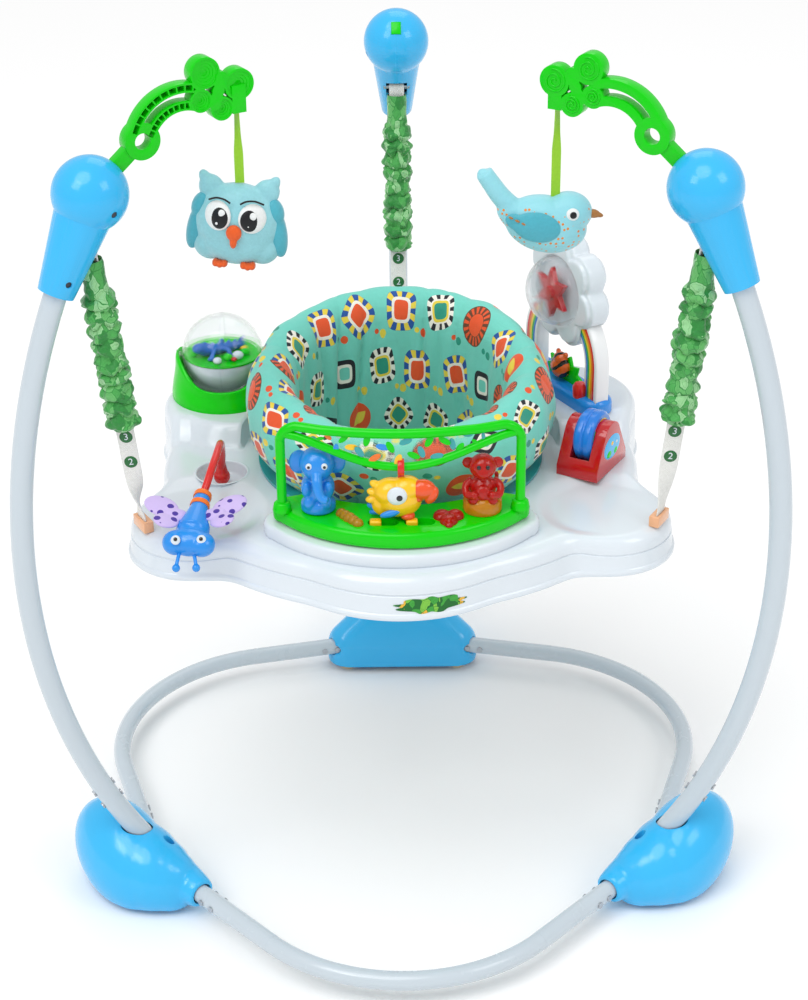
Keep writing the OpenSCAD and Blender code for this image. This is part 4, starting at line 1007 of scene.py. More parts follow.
    def warp(self, rule: Callable[[Vector], Vector]) -> "Blank":
        """Moves every point by a rule, in the blank's own axes and in millimetres.

        Args:
            rule: Gives a point's new place.

        Returns:
            The blank.
        """
        back = self.place.inverted()
        for vert in self.bm.verts:
            vert.co = self.place @ (rule(back @ vert.co / MM) * MM)
        return self

    def thicken(self, thick: float) -> "Blank":
        """Gives an open sheet a wall of that thickness, half of it to each side.

        Args:
            thick: The wall.

        Returns:
            The blank.
        """
        bmesh.ops.recalc_face_normals(self.bm, faces=self.bm.faces)
        self.bm.normal_update()
        for vert in self.bm.verts:
            vert.co += vert.normal * thick * MM / 2
        bmesh.ops.solidify(self.bm, geom=self.bm.faces[:], thickness=thick * MM)
        return self

    def round_edges(self, width: float, angle: float = 38.0, segments: int = 2) -> "Blank":
        """Rounds the edges that turn by more than an angle.

        Args:
            width: The width of the rounding.
            angle: The least turn in degrees.
            segments: The faces across a rounding.

        Returns:
            The blank.
        """
        bmesh.ops.dissolve_limit(self.bm, angle_limit=math.radians(0.6),
                                 verts=self.bm.verts, edges=self.bm.edges)
        limit = math.radians(angle)
        sharp = [e for e in self.bm.edges if e.is_manifold and e.calc_face_angle(0.0) > limit]
        bmesh.ops.bevel(self.bm, geom=sharp, offset=width * MM, segments=segments, profile=0.5,
                        affect="EDGES", clamp_overlap=True, material=-1)
        return self

    def smooth(self, times: int, share: float = 0.5) -> "Blank":
        """Eases the whole surface a number of times.

        Args:
            times: How often.
            share: How far each time, from 0 to 1.

        Returns:
            The blank.
        """
        for _ in range(times):
            bmesh.ops.smooth_vert(self.bm, verts=self.bm.verts, factor=share, use_axis_x=True,
                                  use_axis_y=True, use_axis_z=True)
        return self

    def piece(self, name: str, crease: float = 42.0, fix: bool = True) -> bpy.types.Object:
        """Ends the mesh as an object at the origin.

        Args:
            name: The object's name.
            crease: Edges that turn by more than this many degrees stay sharp.
            fix: Whether to turn the faces outwards first.

        Returns:
            The object.
        """
        if fix:
            bmesh.ops.recalc_face_normals(self.bm, faces=self.bm.faces)
        limit = math.radians(crease)
        for edge in self.bm.edges:
            edge.smooth = not (edge.is_manifold and edge.calc_face_angle(0.0) > limit)
        for face in self.bm.faces:
            face.smooth = True
        mesh = bpy.data.meshes.new(name)
        self.bm.to_mesh(mesh)
        self.bm.free()
        return placed(name, mesh)

    def clay(self, name: str, grain: float = 1.6, ease_times: int = 4) -> bpy.types.Object:
        """Ends the mesh as one smooth skin over all its shapes."""
        return refaced(self.piece(name), grain).smooth(ease_times).piece(name, 75.0)


def settled(source: bpy.types.Object, kind: str, **settings: object) -> bpy.types.Object:
    """Applies one modifier to an object.

    Args:
        source: The object.
        kind: The modifier's type.
        **settings: The modifier's settings.

    Returns:
        The object.
    """
    step = source.modifiers.new("step", kind)
    for key, value in settings.items():
        setattr(step, key, value)
    mesh = evaluated(source)
    source.modifiers.remove(step)
    source.data = mesh
    return source


def refaced(source: bpy.types.Object, grain: float) -> Blank:
    """Lays a skin of even faces over an object, and takes it back into the making."""
    return Blank.taken(settled(source, "REMESH", mode="VOXEL", voxel_size=grain * MM))


def punched(piece: bpy.types.Object, punch: Blank, solver: str = "EXACT") -> bpy.types.Object:
    """Cuts a blank's shapes out of an object.

    Args:
        piece: The object.
        punch: The shapes.
        solver: The way of cutting.

    Returns:
        The object.
    """
    cutter = punch.piece("punch")
    cut = settled(piece, "BOOLEAN", operation="DIFFERENCE", object=cutter, solver=solver)
    bpy.data.objects.remove(cutter)
    return cut


def fit(piece: bpy.types.Object, finish: Finish, body: str, slot: str, *nodes: str) -> bpy.types.Object:
    """Dresses a piece and ties it to its body.

    Args:
        piece: The piece.
        finish: Its finish.
        body: The body it moves with.
        slot: The record's material slot. It is not used.
        *nodes: The CAD nodes that it stands for.

    Returns:
        The piece.
    """
    piece.data.materials.clear()
    piece.data.materials.append(finish.material())
    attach(piece, body)
    if nodes:
        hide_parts(*nodes)
    log.info("%s rides on %s", piece.name, body)
    return piece


def shell(node: str, name: str, finish: Finish, slot: str, edge: tuple, crease: float,
          body: str = "tray") -> None:
    """Builds a copy of a CAD node with rounded edges, and ties it to its body."""
    fit(Blank.of_node(node).round_edges(*edge).piece(name, crease), finish, body, slot, node)


def dab(name: str, place: Matrix, at: Point, size: float | Point, finish: Finish, body: str, slot: str,
        turn: Point = (0.0, 0.0, 0.0), facets: int = 24) -> None:
    """Builds a small piece of one ball, and ties it to its body."""
    fit(Blank(place).ball(at, size, turn, facets).piece(name), finish, body, slot)


def paint_node(node: str, finish: Finish) -> None:
    """Gives a CAD node its finish.

    Args:
        node: The node's name.
        finish: The finish.
    """
    kept = bpy.data.objects[node]
    kept.data.materials.clear()
    kept.data.materials.append(finish.material())
    log.info("%s keeps its CAD form", node)


def arc(centre: tuple[float, float], radius: float, start: float, end: float,
        parts: int) -> list[tuple[float, float]]:
    """Points of an arc in a plane."""
    angles = [math.radians(start + (end - start) * i / parts) for i in range(parts + 1)]
    return [(centre[0] + radius * math.cos(a), centre[1] + radius * math.sin(a)) for a in angles]


def through(points: Sequence[Point], parts: int) -> list[Vector]:
    """A smooth line through points.

    Args:
        points: The points, of two or three numbers.
        parts: The steps between two points.

    Returns:
        The points of the line.
    """
    line = [Vector(p) for p in points]
    made: list[Vector] = []
    for i in range(len(line) - 1):
        before, a, b = line[max(i - 1, 0)], line[i], line[i + 1]
        after = line[min(i + 2, len(line) - 1)]
        for k in range(parts):
            t = k / parts
            made.append(0.5 * (2 * a + (b - before) * t + (2 * before - 5 * a + 4 * b - after) * t * t
                               + (3 * a - before - 3 * b + after) * t ** 3))
    return made + [line[-1]]


@dataclass
class FrameTubes:
    """The painted tubes, and the small steel and rubber pieces that keep their CAD form."""

    tubes: tuple[str, ...] = (
        "front_base_tube", "left_base_tube", "right_base_tube", "leg_stubs",
        "left_upright", "right_upright", "rear_upright",
    )

    def build(self) -> None:
        """Builds the painted tubes."""
        for node in self.tubes:
            fit(Blank.of_node(node).piece(f"{node}_paint", 40.0), Shade.paint, "frame", "tube_paint", node)

    def dress(self) -> None:
        """Dresses the small pieces."""
        paint_node("tube_rivets", Shade.steel)
        paint_node("spring_pins", Shade.steel)
        paint_node("housing_screws", Shade.dark_steel)
        paint_node("foot_pads", Shade.pad)


@dataclass
class Feet:
    """The three moulded feet: bean shaped at the front, with mouths for the tubes and a well for a screw."""

    floor: float = 6.0
    corner: float = 350.14
    inward: float = 13.0
    tube_z: float = 34.0
    grain: float = 1.9
    ease_times: int = 9
    bow: tuple[float, float, float] = (482.0, 780.0, 492.0)

    def build(self) -> None:
        """Builds the front feet, and the wide foot at the back."""
        self.bean(Station.LEFT, 1)
        self.bean(Station.RIGHT, -1)
        rear = Blank.of_node("rear_foot").clay("rear_foot_skin", self.grain, 16)
        fit(rear, Shade.sky, "frame", "frame_blue", "rear_foot")

    def leg(self, z: float) -> tuple[float, float, float]:
        """A point of the leg's bowed line, at a height."""
        reach, radius, middle = self.bow
        return (reach - radius + math.sqrt(radius**2 - (z - middle) ** 2), 0.0, z)

    def bean(self, station: Station, toe: int) -> None:
        """Builds one front foot.

        Args:
            station: The foot's station.
            toe: The side along the ring on which it is long and low, 1 or -1.
        """
        node = f"{station.label}_foot"
        place = PLAN.station(station.value)
        lean = math.radians(self.inward)
        way = Vector((-math.sin(lean), toe * math.cos(lean), 0))
        mouth = [Vector((self.corner, 0, self.tube_z)) + way * s for s in (34, 62, 78, 86)]
        form = Blank(place).ball((385, -toe * 23.6, 46), (51, 82, 61), (-toe * 19.5, 0, toe * 6.3), 56)
        form.ball((371, toe * 6, 41), (47, 62, 54), (-toe * 12, 0, toe * 5), 48)
        form.ball((361, toe * 24, 37), (42, 48, 46.5), (-toe * 6, 0, toe * 3), 48)
        form.ball((353, toe * 39, 33.4), (36, 35, 41), facets=44).tube(mouth, [27, 23, 20, 17.5], 32)
        form.warp(lambda p: Vector((p.x, p.y, max(p.z, self.floor))))
        skin = form.clay(f"{node}_form", self.grain, self.ease_times)
        punch = Blank(place).tube([self.leg(z) for z in (72, 90, 110, 130, 150)], 14.4, 40)
        punch.tube([Vector((self.corner, 0, self.tube_z)) + way * s for s in (64, 80, 100)], 13.4, 36)
        punch.lathe([(0, 52), (6.4, 52), (6.4, 130), (0, 130)], 32, at=(self.corner - 6, toe * 24, 0))
        skin = punched(skin, punch, "MANIFOLD")
        fit(Blank.taken(skin).piece(f"{node}_skin", 40.0), Shade.sky, "frame", "frame_blue", node)


@dataclass
class Housings:
    """The halves of the top housings, with rounded edges along their seams and slots."""

    edge: float = 0.7

    def build(self) -> None:
        """Builds both halves of each housing and the plug at the back."""
        for station in Station:
            for half in "ab":
                node = f"{station.label}_housing_{half}"
                shell(node, f"{node}_shell", Shade.sky, "frame_blue", (self.edge, 30.0), 34.0, "frame")
        shell("socket_plug", "socket_plug_shell", Shade.leaf, "arm_green", (0.6,), 34.0, "frame")


@dataclass
class ToyArms:
    """The two leaf green arms, with a raised spiral on the smooth side of each round wing."""

    edge: float = 0.8
    middle: tuple[float, float] = (262.08, 941.55)
    wings: tuple[tuple[float, float, float], ...] = (
        (-27, 72, 17), (-66, 54, 17), (-21, 43, 12.5), (-45, 31, 13),
    )
    face: float = -8.1
    coils: float = 2.3

    def build(self) -> None:
        """Builds the arms and their spirals."""
        for station in (Station.LEFT, Station.RIGHT):
            node = f"{station.label}_toy_arm"
            shell(node, f"{node}_shell", Shade.leaf, "arm_green", (self.edge, 30.0), 34.0, "frame")
            spirals = Blank(PLAN.station(station.value))
            for x, z, radius in self.wings:
                spirals.tube(self.spiral(x, z, radius - 3.5), 1.2, 8)
            fit(spirals.piece(f"{node}_spirals", 70.0), Shade.leaf, "frame", "arm_green")
            dishes = Blank(PLAN.station(station.value))
            for x, z, radius in self.wings:
                dishes.lathe(self.dish(radius - 2.2), 48, at=(self.middle[0] + x, 0, self.middle[1] + z),
                             turn=(-90, 0, 0))
            fit(dishes.piece(f"{node}_dishes", 36.0), Shade.leaf, "frame", "arm_green")

    def dish(self, reach: float) -> list[tuple[float, float]]:
        """The profile of a stepped dish that fills the hollow of one wing.

        Args:
            reach: The dish's radius.

        Returns:
            Radius and height of each point.
        """
        steps = [(0.0, 2.6)]
        for i in range(1, 5):
            r = reach * i / 4.6
            steps += [(r, 2.6 + 0.95 * i), (r + 0.4, 3.3 + 0.95 * i)]
        return [*steps, (reach, 7.2), (reach, 2.0), (0.0, 0.4)]

    def spiral(self, x: float, z: float, reach: float) -> list[tuple[float, float, float]]:
        """The line of a spiral on one wing.

        Args:
            x: The wing's middle from the arm's middle, outwards.
            z: The wing's middle from the arm's middle, up.
            reach: The spiral's greatest radius.

        Returns:
            The line's points in the station's axes.
        """
        line = []
        for i in range(61):
            radius = 1.2 + (reach - 1.2) * i / 60
            angle = self.coils * TURN * i / 60
            line.append((self.middle[0] + x + radius * math.cos(angle), self.face,
                         self.middle[1] + z + radius * math.sin(angle)))
        return line


@dataclass
class SpringCover:
    """One gathered cloth cover over a spring, with the webbing loop that hangs on the pin."""

    station: Station
    low: float = 130.0
    high: float = 334.0
    neck: float = 300.0
    bore: float = 11.8
    puff: float = 5.2
    puffs: int = 11
    rows: int = 13
    crease: float = 3.4
    lump: float = 2.0
    lift: float = 3.4

    def fold(self, p: Vector) -> Vector:
        """Gathers a point of the plain tube into puffs, with sharp creases between the folds.

        Args:
            p: The point.

        Returns:
            Its new place.
        """
        share = (p.z - self.low) / (self.high - self.low)
        angle = math.atan2(p.y, p.x)
        seed = float(self.station.value)
        round_about = Vector((math.cos(angle), math.sin(angle), seed))
        drift = 0.5 * noise.noise(round_about * 1.1 + Vector((0, 0, share * 8)))
        swell = abs(math.sin(math.pi * (share * self.puffs + drift))) ** 0.65
        uneven = 0.8 + 0.75 * noise.noise(Vector((seed, 0.5, share * 5.5)))
        near = noise.voronoi(Vector((round_about.x * 1.15, round_about.y * 1.15, seed + share * 15)))[0]
        crease = min(1.0, (near[1] - near[0]) * 2.2)
        lump = noise.noise(Vector((round_about.x * 1.5, round_about.y * 1.5, seed + share * 19)))
        hem = ease(min(share, 1 - share) / 0.025)
        full = hem * (0.12 + 0.88 * ease((self.neck + 8 - p.z) / 22))
        relief = swell * self.puff * uneven + self.crease * crease * (0.35 + 0.65 * swell) + self.lump * lump
        radius = max(self.bore, self.bore + full * relief)
        lift = noise.noise(Vector((round_about.x * 1.3, round_about.y * 1.3, share * 21 - seed)))
        return polar(radius, angle, p.z + full * self.lift * lift)

    def build(self) -> None:
        """Builds the cover and its loop."""
        node = f"{self.station.label}_spring_cover"
        steps = self.puffs * self.rows
        plain = [(self.bore, self.low + (self.high - self.low) * i / steps) for i in range(steps + 1)]
        place = PLAN.hang(self.station.value)
        cloth = Blank(place).lathe(plain, 72).warp(self.fold)
        area = sum(f.calc_area() for f in cloth.bm.faces)
        cover = cloth.thicken(0.5).piece(f"{node}_cloth", 62.0)
        cover.data.materials.append(Shade.leaves.material())
        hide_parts(node)
        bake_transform(cover)
        self.loop(place)

    def loop(self, place: Matrix) -> None:
        """Builds the webbing loop over the pin.

        Args:
            place: The hang line's axes.
        """
        top = PLAN.hang_len
        outer = [(-5.0, self.high - 3)] + arc((0, top), 5.0, 180, 0, 14) + [(5.0, self.high - 3)]
        inner = [(3.3, self.high - 3)] + arc((0, top), 3.3, 0, 180, 14) + [(-3.3, self.high - 3)]
        loop = Blank(place).plate(outer + inner, 19.0, (0, 9.5, 0), (90, 0, 0)).round_edges(0.4)
        fit(loop.piece(f"{self.station.label}_spring_loop"), Shade.webbing, "frame", "webbing")


@dataclass
class Springs:
    """The three steel springs, which stretch as the tray bounces on the jumper but stay still here."""

    node: str = "springs"
    still_z: float = 800.0
    carried_z: float = 667.0

    def build(self) -> None:
        """Builds a still copy that runs between the housings and the straps."""
        coils = Blank.of_node(self.node).piece("springs_steel", 60.0)
        coils.data.materials.append(Shade.steel.material())
        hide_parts(self.node)
        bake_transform(coils)


@dataclass
class Strap:
    """One webbing strap from its clip to the cover, turned to face the front, with its numbers."""

    station: Station
    twist: float
    low: float = -24.0
    high: float = 150.0
    width: float = 20.0
    thick: float = 1.6
    marks: tuple[tuple[float, str], ...] = ((118.0, "3"), (86.0, "2"))
    disc: float = 7.2
    print_height: float = 11.5
    turn_low: float = 16.0
    turn_over: float = 58.0

    def turn(self, along: float) -> float:
        """The strap's turn about its own line, in radians, at a height along it."""
        return math.radians(self.twist) * ease((along - self.turn_low) / self.turn_over)

    def shape(self, p: Vector) -> Vector:
        """Lifts and turns a point of the flat band.

        Args:
            p: The point.

        Returns:
            Its new place.
        """
        along = p.z + (self.low + self.high) / 2
        angle = self.turn(along)
        narrow = 1 - 0.1 * math.sin(math.pi * min(1.0, max(0.0, (along - self.turn_low) / self.turn_over)))
        y = p.y * (narrow if abs(self.twist) > 30 else 1.0)
        return Vector((-y * math.sin(angle), y * math.cos(angle), along))

    def build(self) -> None:
        """Builds the webbing, its discs and its numbers."""
        label = self.station.label
        place = PLAN.hang(self.station.value)
        flat = Blank(place).band(self.high - self.low, self.width, (120, 6))
        band = flat.warp(self.shape).thicken(self.thick).round_edges(0.5, 60.0)
        fit(band.piece(f"{label}_strap_webbing", 50.0), Shade.webbing, "tray", "webbing", f"{label}_strap")
        for along, mark in self.marks:
            self.number(place, along, mark)

    def number(self, place: Matrix, along: float, mark: str) -> None:
        """Prints one disc and its number on the side that faces the front.

        Args:
            place: The hang line's axes.
            along: The disc's height along the strap.
            mark: The number.
        """
        angle = self.turn(along)
        face = Vector((math.cos(angle), math.sin(angle), 0))
        if (place.to_3x3() @ face).y > 0:
            face = -face
        right = Vector((0, 0, 1)).cross(face)
        axes = Matrix((right, Vector((0, 0, 1)), face)).transposed().to_4x4()
        spot = place @ shifted(0, 0, along) @ axes
        label = f"{self.station.label}_mark_{mark}"
        half = self.thick / 2
        top = half + 0.3
        edge = [(self.disc, half), (self.disc + 0.2, half + 0.15), (self.disc, top)]
        disc = Blank(spot).lathe([(0, half), *edge, (0, top)], 40)
        fit(disc.piece(f"{label}_disc"), Shade.ink, "tray", "webbing")
        words = bpy.data.curves.new(label, "FONT")
        words.body = mark
        words.size = self.print_height * MM
        words.align_x = "CENTER"
        words.align_y = "CENTER"
        words.extrude = 0.12 * MM
        source = placed(label + "_source", words)
        mesh = evaluated(source)
        bpy.data.objects.remove(source)
        digit = Blank(spot)
        digit.bm.from_mesh(mesh)
        bmesh.ops.transform(digit.bm, matrix=spot @ shifted(0, 0, half + 0.4), verts=digit.bm.verts)
        bmesh.ops.remove_doubles(digit.bm, verts=digit.bm.verts, dist=0.01 * MM)
        fit(digit.piece(label, 30.0), Shade.white, "tray", "webbing")


@dataclass
class Tray:
    """The white tray: one moulded skin with lobes, raised pods, a groove, a flared skirt and a cup."""

    radius: float = 284.0
    bore: float = 158.0
    wall: float = 3.0
    front: tuple[float, float] = (153.0, 150.0)
    lobe: tuple[float, float, float] = (270.0, 78.0, -5.0)
    pod: tuple[float, float, float] = (228.0, 96.0, 26.0)
    cup: tuple[float, float, float] = (30.0, 16.0, 1.8)
    pod_ease: tuple[float, float] = (5.0, 24.0)
    lobe_ease: tuple[float, float] = (6.0, 26.0)
    spread: tuple[float, float] = (205.0, 57.0)
    seat_wall: tuple[float, float] = (190.6, 5.0)
    lifted: tuple[float, float] = (464.0, 22.0)
    edge_keep: float = 27.0
    sticker_size: tuple[float, float] = (38.0, 9.0)
    sticker_at: tuple[float, float] = (-84.0, 472.5)
    sticker_gap: float = 1.4
    flare_z: float = 476.0
    flare: float = 0.09
    steps: int = 420
    reach: list[float] = field(default_factory=list)

    def rounds(self) -> list[tuple[float, float, float]]:
        """Middle and radius of each circle of the outline.

        Returns:
            Right, back and radius of each.
        """
        made = [(0.0, -self.front[0], self.front[1])]
        for form, angles in ((self.lobe, (210, 330, 90)), (self.pod, (150, 30))):
            for angle in angles:
                turn = math.radians(angle)
                made.append((form[0] * math.cos(turn), form[0] * math.sin(turn), form[1]))
        return made

    def trace(self) -> None:
        """Finds the outline's reach at each step round, with its corners eased."""
        raw = []
        for i in range(self.steps):
            angle = TURN * i / self.steps
            way = Vector((math.cos(angle), math.sin(angle)))
            far = self.radius
            for x, y, r in self.rounds():
                along = way.x * x + way.y * y
                off = r * r - (x * x + y * y - along * along)
                if off > 0:
                    far = max(far, along + math.sqrt(off))
            raw.append(far)
        spread = range(-8, 9)
        share = [math.exp(-0.5 * (k / 3.0) ** 2) for k in spread]
        total = sum(share)
        self.reach = [sum(raw[(i + k) % self.steps] * s for k, s in zip(spread, share)) / total
                      for i in range(self.steps)]

    def edge(self, angle: float) -> float:
        """The outline's reach at an angle in radians.

        Args:
            angle: The angle.

        Returns:
            The reach.
        """
        place = angle / TURN % 1.0 * self.steps
        low = int(place) % self.steps
        part = place - int(place)
        return self.reach[low] * (1 - part) + self.reach[(low + 1) % self.steps] * part

    def rise(self, x: float, y: float) -> float:
        """The deck's height over its plain level at a spot.

        Args:
            x: Millimetres to the right.
            y: Millimetres to the back.

        Returns:
            The height.
        """
        height = 0.0
        marks = self.rounds()
        for px, py, r in marks[4:]:
            inside = r + self.pod_ease[0] - math.hypot(x - px, y - py)
            height = max(height, self.pod[2] * ease(inside / self.pod_ease[1]))
        if height < 1e-6:
            for px, py, r in marks[1:4]:
                inside = r + self.lobe_ease[0] - math.hypot(x - px, y - py)
                height = min(height, self.lobe[2] * ease(inside / self.lobe_ease[1]))
        return height

    def sculpt(self, p: Vector) -> Vector:
        """Moves a point of the plain turned tray to the real outline and deck.

        Args:
            p: The point.

        Returns:
            Its new place.
        """
        angle = math.atan2(p.y, p.x)
        r = math.hypot(p.x, p.y)
        edge = self.edge(angle)
        far = r + (edge - self.radius) * ease((r - self.spread[0]) / self.spread[1])
        probe = min(far, edge - self.edge_keep)
        height = self.rise(probe * math.cos(angle), probe * math.sin(angle))
        if height > 0:
            height *= ease((far - self.seat_wall[0]) / self.seat_wall[1])
        z = p.z + height * ease((p.z - self.lifted[0]) / self.lifted[1])
        return polar(far, angle, z)

    def profile(self) -> list[tuple[float, float]]:
        """Radius and height round the plain tray's section.

        Returns:
            The section's points.
        """
        deck = PLAN.deck_z
        top = [(self.bore + 1 + (264 - self.bore - 1) * i / 44, deck) for i in range(45)]
        turned = arc((268, deck - 16), 16, 84, 0, 12)
        skirt = [(284.2, 486), (283.2, 485.2), (283.1, 484.0), (284.6, 483.0), (285.0, 476), (285.7, 468),
                 (286.4, 463), (288.3, 461.6), (288.9, 459.4), (288.7, 456.6), (287.4, 455.0),
                 (285.2, 455.0), (283.6, 457.5)]
        under = [(282.2, 470), (281.4, 484)] + arc((268, deck - 16), 13, 10, 90, 8)
        inside = [(262 - (262 - self.bore - 6) * i / 24, deck - self.wall) for i in range(25)]
        collar = [(self.bore + self.wall, deck - 6), (self.bore + self.wall, 475),
                  (self.bore, 475), (self.bore, deck - 1)]
        return top + turned + skirt + under + inside + collar

    def build(self) -> None:
        """Builds the tray and the cup's lining, and dresses the clips."""
        self.trace()
        turned = Blank().lathe(self.profile(), self.steps, closed=True)
        body = turned.warp(self.sculpt).piece("tray_blank", 40.0)
        x, y, _ = PLAN.stalk_at
        radius, depth, lip = self.cup
        well = PLAN.shift(x, y, PLAN.deck_z)
        body = punched(body, Blank(well).lathe([(0, -40), (radius, -40), (radius, 20), (0, 20)], 72))
        body.name = "tray_shell"
        fit(body, Shade.white, "tray", "tray_white", "tray")
        lining = [(0, -depth), (radius - 4.5, -depth), (radius - 2.0, -depth + 1),
                  (radius - 1.0, -depth + 3.5), (radius - 0.6, -1.6), (radius - 0.2, -0.2),
                  (radius + 0.8, 0.6), (radius + lip, 0.6), (radius + lip + 1, 0), (radius + lip, -0.6),
                  (radius + 0.6, -1.2), (radius + 0.6, -depth - 1.5), (0, -depth - 1.5)]
        fit(Blank(well).lathe(lining, 72).piece("tray_cup", 50.0), Shade.white, "tray", "tray_white")
        shell("strap_clips", "strap_clips_shell", Shade.peach, "clip_peach", (1.6, 40.0, 3), 40.0)
        self.sticker()

    def sticker(self) -> None:
        """Builds the leaf print on the front of the skirt, as a thin film that follows it."""
        long, high = self.sticker_size
        film = Blank().band(2 * high, 2 * long, (16, 60)).warp(self.wrap).thicken(0.3)
        fit(film.piece("tray_sticker", 60.0), Shade.sticker, "tray", "tray_white")

    def wrap(self, p: Vector) -> Vector:
        """Lays a point of the flat print on the skirt, inside a wavy outline.

        Args:
            p: The point.

        Returns:
            Its new place.
        """
        long, high = self.sticker_size
        middle, level = self.sticker_at
        u, v = p.y / long, p.z / high
        wavy = 1 + 0.12 * math.sin(9 * math.atan2(v, u))
        side = long * u * math.sqrt(1 - v * v / 2) * wavy
        z = level + high * v * math.sqrt(1 - u * u / 2) * wavy
        angle = math.radians(middle) + side / sum(self.front)
        r = self.edge(angle) + self.sticker_gap + (self.flare_z - z) * self.flare
        return polar(r, angle, z)


@dataclass
class Console:
    """The green console in front of the seat, with its hoop, lights, switches and three toys."""

    half: float = 132.0
    height: float = 104.0
    corner: float = 20.0
    bow: float = 20.0
    bar: float = 5.5
    slot: tuple[float, float] = (34.0, 16.0)
    front: tuple[float, float] = (92.0, 176.0)
    end: tuple[float, float, float] = (124.0, 190.0, 19.5)
    back: float = 194.0
    disc_thick: float = 19.0
    switch_x: float = 20.0
    switch_y: float = -238.0

    def build(self) -> None:
        """Builds the console and everything on it."""
        tier = Blank(PLAN.shift(0, 0, PLAN.deck_z - 2)).plate(self.lens(11), 18).round_edges(5.0, 60.0, 4)
        fit(tier.piece("tray_tier", 50.0), Shade.white, "tray", "tray_white")
        self.disc()
        self.hoop()
        paint_node("hoop_panel", Shade.panel)
        self.print_panel()
        self.lights()
        self.switches()
        self.elephant()
        self.monkey()
        self.parrot()

    def lens(self, grow: float) -> list[tuple[float, float]]:
        """The console's outline, a round front and a back that follows the seat, grown by a margin.

        Args:
            grow: The margin.

        Returns:
            The outline's points.
        """
        x, y, corner = self.end
        return (arc((0, -self.front[0]), self.front[1] + grow, 218.9, 321.1, 44)
                + arc((x, -y), corner + grow, -35, 75, 8) + arc((0, 0), self.back - grow, -57, -123, 24)
                + arc((-x, -y), corner + grow, 105, 215, 8))

    def disc(self) -> None:
        """Builds the console's green disc with the slots of its two switches."""
        disc = Blank(PLAN.shift(0, 0, PLAN.console_z - self.disc_thick)).plate(self.lens(0), self.disc_thick)
        skin = disc.round_edges(5.5, 60.0, 5).piece("console_blank", 50.0)
        half, end = (self.slot[0] - self.slot[1]) / 2, self.slot[1] / 2
        slot = arc((half, 0), end, -90, 90, 16) + arc((-half, 0), end, 90, 270, 16)
        punch = Blank(PLAN.shift(0, self.switch_y, PLAN.console_z - 7))
        for side in (-1, 1):
            punch.plate(slot, 20, (side * self.switch_x, 0, 0))
        skin = Blank.taken(punched(skin, punch))
        fit(skin.piece("console_shell", 40.0), Shade.leaf, "tray", "arm_green", "console_base")

    def run(self, u: float, low: float, dip: float) -> tuple[float, float, float]:
        """A point of a bar of the hoop, at a share u from -1 to 1 across it."""
        return (self.half * u, PLAN.hoop_y - self.bow * (1 - u * u),
                PLAN.console_z + low - dip * (1 - u * u) ** 2)

    def hoop(self) -> None:
        """Builds the hoop's two bars and the collars of its posts."""
        top = PLAN.console_z + self.height
        left = []
        for a in range(0, 91, 15):
            turn = math.radians(a)
            left.append((-self.half + self.corner * (1 - math.cos(turn)), PLAN.hoop_y - 0.04 * a,
                         top - self.corner * (1 - math.sin(turn))))
        right = [(-x, y, z) for x, y, z in reversed(left)]
        middle = [self.run(-0.65 + 0.13 * i, self.height, 2) for i in range(11)]
        low_end = [(-self.half, PLAN.hoop_y, PLAN.console_z - 6),
                   (-self.half, PLAN.hoop_y, PLAN.console_z + 40)]
        upper = low_end + left + middle + right + [(-x, y, z) for x, y, z in reversed(low_end)]
        lower = [self.run(-1 + 0.125 * i, self.height - 9, 33) for i in range(17)]
        hoop = Blank().tube(through(upper, 5), self.bar, 20).tube(through(lower, 5), self.bar - 0.7, 20)
        for side in (-1, 1):
            hoop.lathe([(0, 0), (10.5, 0), (10.8, 1.5), (9.2, 9.0), (7.2, 11.0), (0, 11.2)], 40,
                       at=(side * self.half, PLAN.hoop_y, PLAN.console_z - 0.4))
        fit(hoop.piece("console_hoop_bars", 60.0), Shade.leaf, "tray", "arm_green", "console_hoop")

    def print_panel(self) -> None:
        """Builds the leaves and petals printed on the panel's front, as thin films."""
        inks: dict[str, Blank] = {ink: Blank() for ink in ("leaf", "teal", "orange", "blue", "yellow")}
        for i in range(22):
            u = -0.66 + 1.34 * i / 21
            low = self.run(u, self.height - 9, 33)[2]
            high = self.run(u, self.height, 2)[2]
            share = 0.5 + 0.3 * math.sin(2.4 * i)
            x, y, _ = self.run(u, 0, 0)
            size = min(7.5, (high - low) * 0.24)
            spot = (x, y - 1.9, low + (high - low) * share)
            order = ("leaf", "orange", "blue", "leaf", "yellow", "teal") if u < 0.1 else ("leaf", "teal")
            inks[order[i % len(order)]].ball(spot, (size, 0.35, size * 0.5), (0, 47 * i, -17 * u), 20)
        for ink, film in inks.items():
            fit(film.piece(f"panel_{ink}"), getattr(Shade, ink), "tray", "clear")

    def lights(self) -> None:
        """Builds the ribbed amber light and the red one."""
        amber = Blank(PLAN.shift(-57, PLAN.hoop_y - 24, PLAN.console_z) @ rotated(-52))
        for i in range(-2, 3):
            amber.ball((7.5 * i, 0, 0.5), (15 - abs(i)) / 2)
        fit(amber.clay("amber_light", 0.7, 3), Shade.amber, "tray", "light_amber", "console_lights")
        ruby = Blank(PLAN.shift(52, PLAN.hoop_y - 26, PLAN.console_z) @ Matrix.Scale(1.3, 4))
        for x, y, size in ((-5.5, 4, (8, 8, 6.5)), (5.5, 4, (8, 8, 6.5)),
                           (0, -4, (8, 9, 6)), (0, -10, (4, 6, 4.5))):
            ruby.ball((x, y, 0), size)
        fit(ruby.clay("ruby_light", 0.7, 5), Shade.ruby, "tray", "light_amber")

